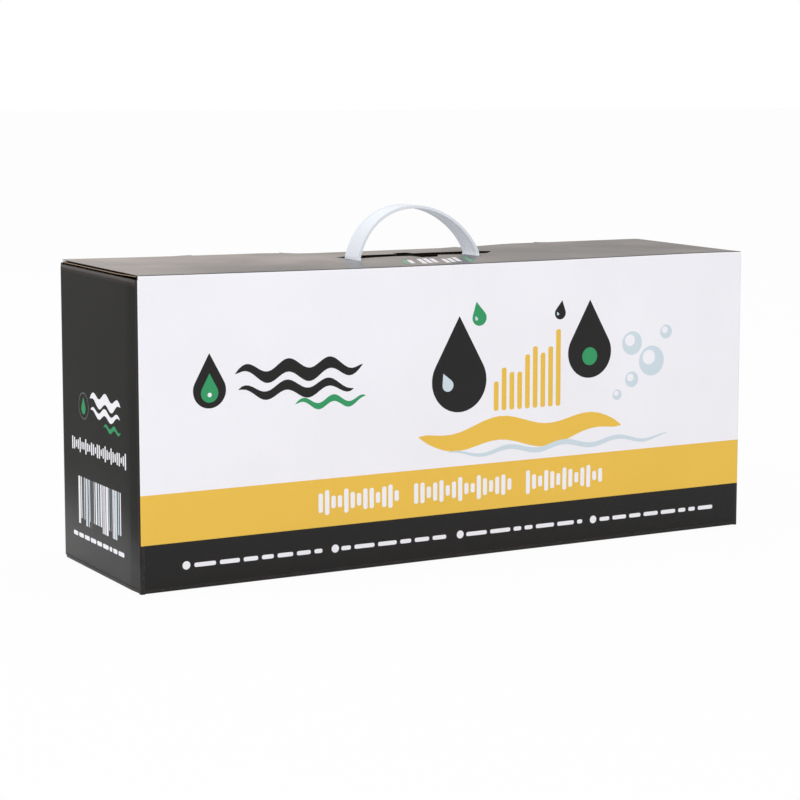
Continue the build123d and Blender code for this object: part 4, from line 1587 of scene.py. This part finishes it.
def folded_cloth(name):
    """A microfibre cloth folded back and forth into a flat pack."""
    low, high = node_box(f"cloth_{name}")
    chance = random.Random(name)
    gap = (high.z - low.z - CLOTH_LAYERS * CLOTH_THICK) / (CLOTH_LAYERS + 1)
    step = CLOTH_THICK + gap
    turn, half = step / 2, CLOTH_THICK / 2
    near, far = low.y + turn + half, high.y - turn - half
    # along the cloth: where its middle runs, and which way its face looks
    line = []
    for k in range(CLOTH_LAYERS):
        level = low.z + gap / 2 + half + k * step
        way = 1 if k % 2 == 0 else -1
        start, end = (near, far) if way > 0 else (far, near)
        line += [(start + (end - start) * i / LAYER_STEPS, level, 0.0, way) for i in range(LAYER_STEPS + 1)]
        if k < CLOTH_LAYERS - 1:
            for i in range(1, TURN_STEPS):
                out, up = sin(pi * i / TURN_STEPS), cos(pi * i / TURN_STEPS)
                line.append((end + way * turn * out, level + turn * (1 - up), -way * out, way * up))
    waves = [chance.uniform(0, tau) for k in range(4)]
    width = high.x - low.x - 2 * CLOTH_INSET

    def place(k, j, side):
        """A point of the cloth's upper or lower face, rippled, and ragged at the two open sides."""
        y, z, face_y, face_z = line[k]
        x = low.x + CLOTH_INSET + width * j / CLOTH_COLUMNS
        ripple = CLOTH_RIPPLE * sin(x / 9 + waves[0] + 0.4 * k) * sin(y / 11 + waves[1])
        ragged = CLOTH_FRAY * sin(1.3 * k + waves[2]) * (j == 0)
        ragged -= CLOTH_FRAY * sin(1.1 * k + waves[3]) * (j == CLOTH_COLUMNS)
        return Vector((x + ragged, y + side * face_y * half, z + side * face_z * half + ripple))

    def face(side):
        return [[place(k, j, side) for j in range(CLOTH_COLUMNS + 1)] for k in range(len(line))]

    shape = Shape()
    shape.blanket(face(1), face(-1))
    cloth = shape.make(
        f"folded_cloth_{name}", "carton", [microfibre], [f"cloth_{name}"], "microfibre", sharp=60
    )


folded_cloth("left")
folded_cloth("right")

LEAF = 0.25  # the paper's thickness
LEAF_CURL = 1.0
LEAF_ROWS, LEAF_COLUMNS = 12, 16
MARGIN = 94  # from the middle of the leaflet to the ends of its lines
FRAME_PITCH = 66
FRAME_WIDTH = 56
FRAME_FOOT, FRAME_TOP = 78, 122
TEXT_TOP = 70
TEXT_PITCH = 6.4


def folded_leaflet():
    """The instructions: one sheet folded once, stood behind the front wall with its fold down."""
    low, high = node_box("leaflet")
    middle = (low.y + high.y) / 2
    turn = (high.y - low.y - LEAF) / 2
    fold = low.z + turn + LEAF / 2

    def curl(x, z):
        """How far the upper corners of the inner leaf have curled."""
        return LEAF_CURL * (x / high.x) ** 2 * smooth((z - fold) / (high.z - fold)) ** 2

    line = [(-1.0, 0.0, high.z + (fold - high.z) * k / LEAF_ROWS) for k in range(LEAF_ROWS)]
    line += [(-cos(pi * k / TURN_STEPS), -sin(pi * k / TURN_STEPS), fold) for k in range(TURN_STEPS + 1)]
    line += [(1.0, 0.0, fold + (high.z - fold) * k / LEAF_ROWS) for k in range(1, LEAF_ROWS + 1)]

    def face(reach):
        """One face of the sheet, at a distance from the middle between its leaves."""
        grid = []
        for out, down, z in line:
            xs = [low.x + (high.x - low.x) * j / LEAF_COLUMNS for j in range(LEAF_COLUMNS + 1)]
            y = middle + out * reach
            grid.append([(x, y + (curl(x, z) if out > 0 else 0), z + down * reach) for x in xs])
        return grid

    sheet = Shape()
    sheet.blanket(face(turn + LEAF / 2), face(turn - LEAF / 2))
    leaflet = sheet.make("folded_leaflet", "carton", [white_paper], ["leaflet"], "paper", sharp=60)

    ink = Print(lambda u, v, w: Vector((-u, middle + turn + LEAF / 2 + curl(-u, v) + w, v)))
    ink.stripe((-MARGIN, 139), (-30, 139), 5.0, IN_BLACK)
    ink.stripe((-MARGIN, 130), (MARGIN, 130), 1.2, IN_YELLOW)
    for k in range(3):
        left = FRAME_PITCH * k - MARGIN
        right = left + FRAME_WIDTH
        for u in (left, right):
            ink.stripe((u, FRAME_FOOT), (u, FRAME_TOP), 0.7, IN_GREY)
        for v in (FRAME_FOOT, FRAME_TOP):
            ink.stripe((left, v), (right, v), 0.7, IN_GREY)
        ink.fill(drop((left + right) / 2, 98, 4 + 2 * k), IN_GREEN)
        ink.wave(left + 8, right - 8, 87, 3.0, 1.5, 14, IN_GREY)
        for row in range(9):
            v = TEXT_TOP - TEXT_PITCH * row
            ink.stripe((left, v), (right - 7 * ((row + k) % 3), v), 1.3, IN_GREY)
    ink.printed("leaflet_print", finish="paper")


folded_leaflet()


def body_of(name):
    """The body that a CAD node rides."""
    bodies = frame["record"]["behaviour"]["bodies"]
    return next(body for body, held in bodies.items() if name in held)


LABEL_FIELDS = (-0.46, 0.04)  # of the way round: where each of the two prints begins
LABEL_SPAN = 0.42  # and how far round it runs


def label_print(side):
    """A wave, a spot and rows of lines, printed twice round a bottle's label."""
    name = f"bottle_label_{side}"
    low, high = node_box(name)
    middle = (low + high) / 2
    radius = (high.x - low.x) / 2

    def at(u, v, w):
        turn = u / radius - pi / 2
        return Vector((middle.x + (radius + w) * cos(turn), middle.y + (radius + w) * sin(turn), low.z + v))

    ink = Print(at)
    for share in LABEL_FIELDS:
        start = share * tau * radius
        end = start + LABEL_SPAN * tau * radius
        centre = (start + end) / 2
        ink.wave(start, end, 33, 9.0, 1.6, 16, IN_YELLOW)
        ink.wave(start + 3, end - 3, 26.5, 1.8, 1.0, 11, IN_BLACK)
        ink.wave(centre - 3, centre + 3, 39, 6.0, 0.0, 9, IN_GREEN, 1)
        for row in range(5):
            v = 20 - 3.2 * row
            ink.stripe((start + 3, v), (end - 4 - 3 * (row % 2), v), 1.0, IN_GREY)
    ink.printed(f"label_print_{side}", body_of(name), "paper")


COLLAR_RADIUS = 11.0
GRIPS = 30
GRIP_PROUD, GRIP_SUNK = 0.3, 0.3
GRIP_ROOT, GRIP_CREST = 0.6, 0.25  # half a grip's width, in the collar and at its outer face
GRIP_FOOT, GRIP_TOP = 2.9, 10.2  # from the collar's foot
GRIP_RAMP = 0.4  # over which a grip rises to its full height


def collar_grips(side):
    """The upright ribs round a pump's collar."""
    name = f"pump_collar_{side}"
    low, high = node_box(name)
    middle = (low + high) / 2
    shape = Shape()
    stations = ((GRIP_FOOT, 0), (GRIP_FOOT + GRIP_RAMP, GRIP_PROUD), (GRIP_TOP, GRIP_PROUD))
    for k in range(GRIPS):
        turn = tau * k / GRIPS
        out = Vector((cos(turn), sin(turn), 0))
        along = Vector((-sin(turn), cos(turn), 0))
        rings = []
        for z, proud in stations:
            base = Vector((middle.x, middle.y, low.z + z))
            inner, outer = COLLAR_RADIUS - GRIP_SUNK, COLLAR_RADIUS + proud
            section = ((inner, -GRIP_ROOT), (outer, -GRIP_CREST), (outer, GRIP_CREST), (inner, GRIP_ROOT))
            rings.append([base + out * reach + along * shift for reach, shift in section])
        shape.tube(rings)
    shape.make(f"collar_grips_{side}", body_of(name), [pale_plastic], slot="pale_plastic")


for bottle_side in ("left", "right"):
    label_print(bottle_side)
    collar_grips(bottle_side)


# Studio ---------------------------------------------------------------------------------------------------


WHITE_LIGHT = (1, 1, 1, 1)
FLOOR_SEEN, FLOOR_THROUGH, FLOOR_MIRRORED = 0.95, 0.9, 0.2  # its glow to the camera, through glass, in gloss
DARK_FLOOR = (0.27, 0.27, 0.26, 1)  # beyond the left end, in reflections
DARK_FROM, DARK_TO = -0.30, -0.22  # metres along the floor, between which that fades


def backdrop_material():
    """A white floor: bright to the camera and in reflections, with its shadow kept.

    In reflections it is dark beyond the carton's left end.
    """
    made = bpy.data.materials.new("studio_white")
    made.use_nodes = True
    tree = made.node_tree
    out = tree.nodes["Material Output"]
    principled = tree.nodes["Principled BSDF"]
    principled.inputs["Base Color"].default_value = (0.8, 0.8, 0.8, 1)
    principled.inputs["Roughness"].default_value = 1.0
    principled.inputs["Specular IOR Level"].default_value = 0.0
    path = tree.nodes.new("ShaderNodeLightPath")
    glow = node(tree, "ShaderNodeEmission", inputs={"Strength": 1.0})
    place = tree.nodes.new("ShaderNodeSeparateXYZ")
    tree.links.new(tree.nodes.new("ShaderNodeTexCoord").outputs["Object"], place.inputs[0])
    beyond = spread(tree, place.outputs["X"], DARK_FROM, DARK_TO, 1.0, 0.0)
    dark = worked(tree, "MULTIPLY", beyond, path.outputs["Is Glossy Ray"])
    tree.links.new(mixed(tree, dark, WHITE_LIGHT, DARK_FLOOR), glow.inputs["Color"])
    seen = worked(tree, "MULTIPLY", path.outputs["Is Camera Ray"], FLOOR_SEEN)
    mirrored = spread(tree, beyond, 0.0, 1.0, FLOOR_MIRRORED, 1.0)
    glossy = worked(tree, "MULTIPLY", path.outputs["Is Glossy Ray"], mirrored)
    through = worked(tree, "MULTIPLY", path.outputs["Is Transmission Ray"], FLOOR_THROUGH)
    total = worked(tree, "MAXIMUM", seen, worked(tree, "MAXIMUM", glossy, through))
    mix = tree.nodes.new("ShaderNodeMixShader")
    tree.links.new(total, mix.inputs[0])
    tree.links.new(principled.outputs[0], mix.inputs[1])
    tree.links.new(glow.outputs[0], mix.inputs[2])
    tree.links.new(mix.outputs[0], out.inputs["Surface"])
    return made


FLOOR_REACH, FLOOR_THICK = 30000.0, 20.0
WORLD_LIGHT = 0.78  # the world's strength on the object; the camera and reflections see it at 1
LEFT_HORIZON, RIGHT_HORIZON = (1.0, 0.90, 0.84, 1), (0.58, 0.54, 0.51, 1)  # in reflections
LAMP_AIM = (0, 0, 0.09)  # half way up the carton, in metres
LAMP_WIDTH = 1.2
LAMPS = (
    ("key", (-1.3, -1.6, 1.6), 16.3),
    ("fill", (1.7, -1.1, 1.0), 4.0),
    ("back", (0.2, 1.9, 1.6), 5.0),
    ("side", (-1.5, 0.25, 0.45), 5.0),
)


def studio():
    """A plain white floor, a soft key lamp with three fills, and an even white world."""
    floor = Shape()
    ring = rectangle(-FLOOR_REACH, FLOOR_REACH, -FLOOR_REACH, FLOOR_REACH)
    floor.prism([(*p, 0.0) for p in ring], [(*p, -FLOOR_THICK) for p in ring])
    floor.make("studio_floor", None, [backdrop_material()])
    world = bpy.data.worlds.new("studio_world")
    bpy.context.scene.world = world
    world.use_nodes = True
    tree = world.node_tree
    background = tree.nodes["Background"]
    background.inputs["Color"].default_value = WHITE_LIGHT
    path = tree.nodes.new("ShaderNodeLightPath")
    seen = worked(tree, "MAXIMUM", path.outputs["Is Camera Ray"], path.outputs["Is Transmission Ray"])
    bright = worked(tree, "MAXIMUM", seen, path.outputs["Is Glossy Ray"])
    strength = spread(tree, bright, 0.0, 1.0, WORLD_LIGHT, 1.0)
    tree.links.new(strength, background.inputs["Strength"])
    way = tree.nodes.new("ShaderNodeSeparateXYZ")
    tree.links.new(tree.nodes.new("ShaderNodeTexCoord").outputs["Generated"], way.inputs[0])
    dim = spread(tree, way.outputs["X"], 0.36, 0.62, 0.0, 1.0)
    low = spread(tree, way.outputs["Z"], 0.10, 0.45, 1.0, 0.0)
    edge = worked(tree, "MULTIPLY", low, path.outputs["Is Glossy Ray"])
    horizon = mixed(tree, dim, LEFT_HORIZON, RIGHT_HORIZON)
    tree.links.new(mixed(tree, edge, WHITE_LIGHT, horizon), background.inputs["Color"])
    for name, place, power in LAMPS:
        light = bpy.data.lights.new(f"{name}_lamp", "AREA")
        light.energy = power
        light.size = LAMP_WIDTH
        lamp = bpy.data.objects.new(f"{name}_lamp", light)
        lamp.location = place
        lamp.rotation_euler = (Vector(LAMP_AIM) - Vector(place)).to_track_quat("-Z", "Y").to_euler()
        bpy.context.collection.objects.link(lamp)


PICTURE = 800  # pixels to a side
FOCAL_PIXELS = 2200.9  # the lens's length, in those pixels
SHIFT_PIXELS = -50
SENSOR = 36.0
CAMERA_PLACE = (-0.6718, -1.1873, 0.2805)  # in metres
CAMERA_DOWN, CAMERA_TURN = 6.687, -29.136  # degrees below level, and from looking straight at the front


def camera():
    """The camera, a little above the lid and to the left of the printed front."""
    made = bpy.data.cameras.new("camera")
    made.sensor_width = SENSOR
    made.lens = SENSOR * FOCAL_PIXELS / PICTURE
    made.shift_y = SHIFT_PIXELS / PICTURE
    seen = bpy.data.objects.new("camera", made)
    seen.location = CAMERA_PLACE
    seen.rotation_euler = Euler((radians(90 - CAMERA_DOWN), 0, radians(CAMERA_TURN)))
    bpy.context.collection.objects.link(seen)
    bpy.context.scene.camera = seen


studio()
camera()
bpy.context.scene.view_settings.view_transform = "Standard"
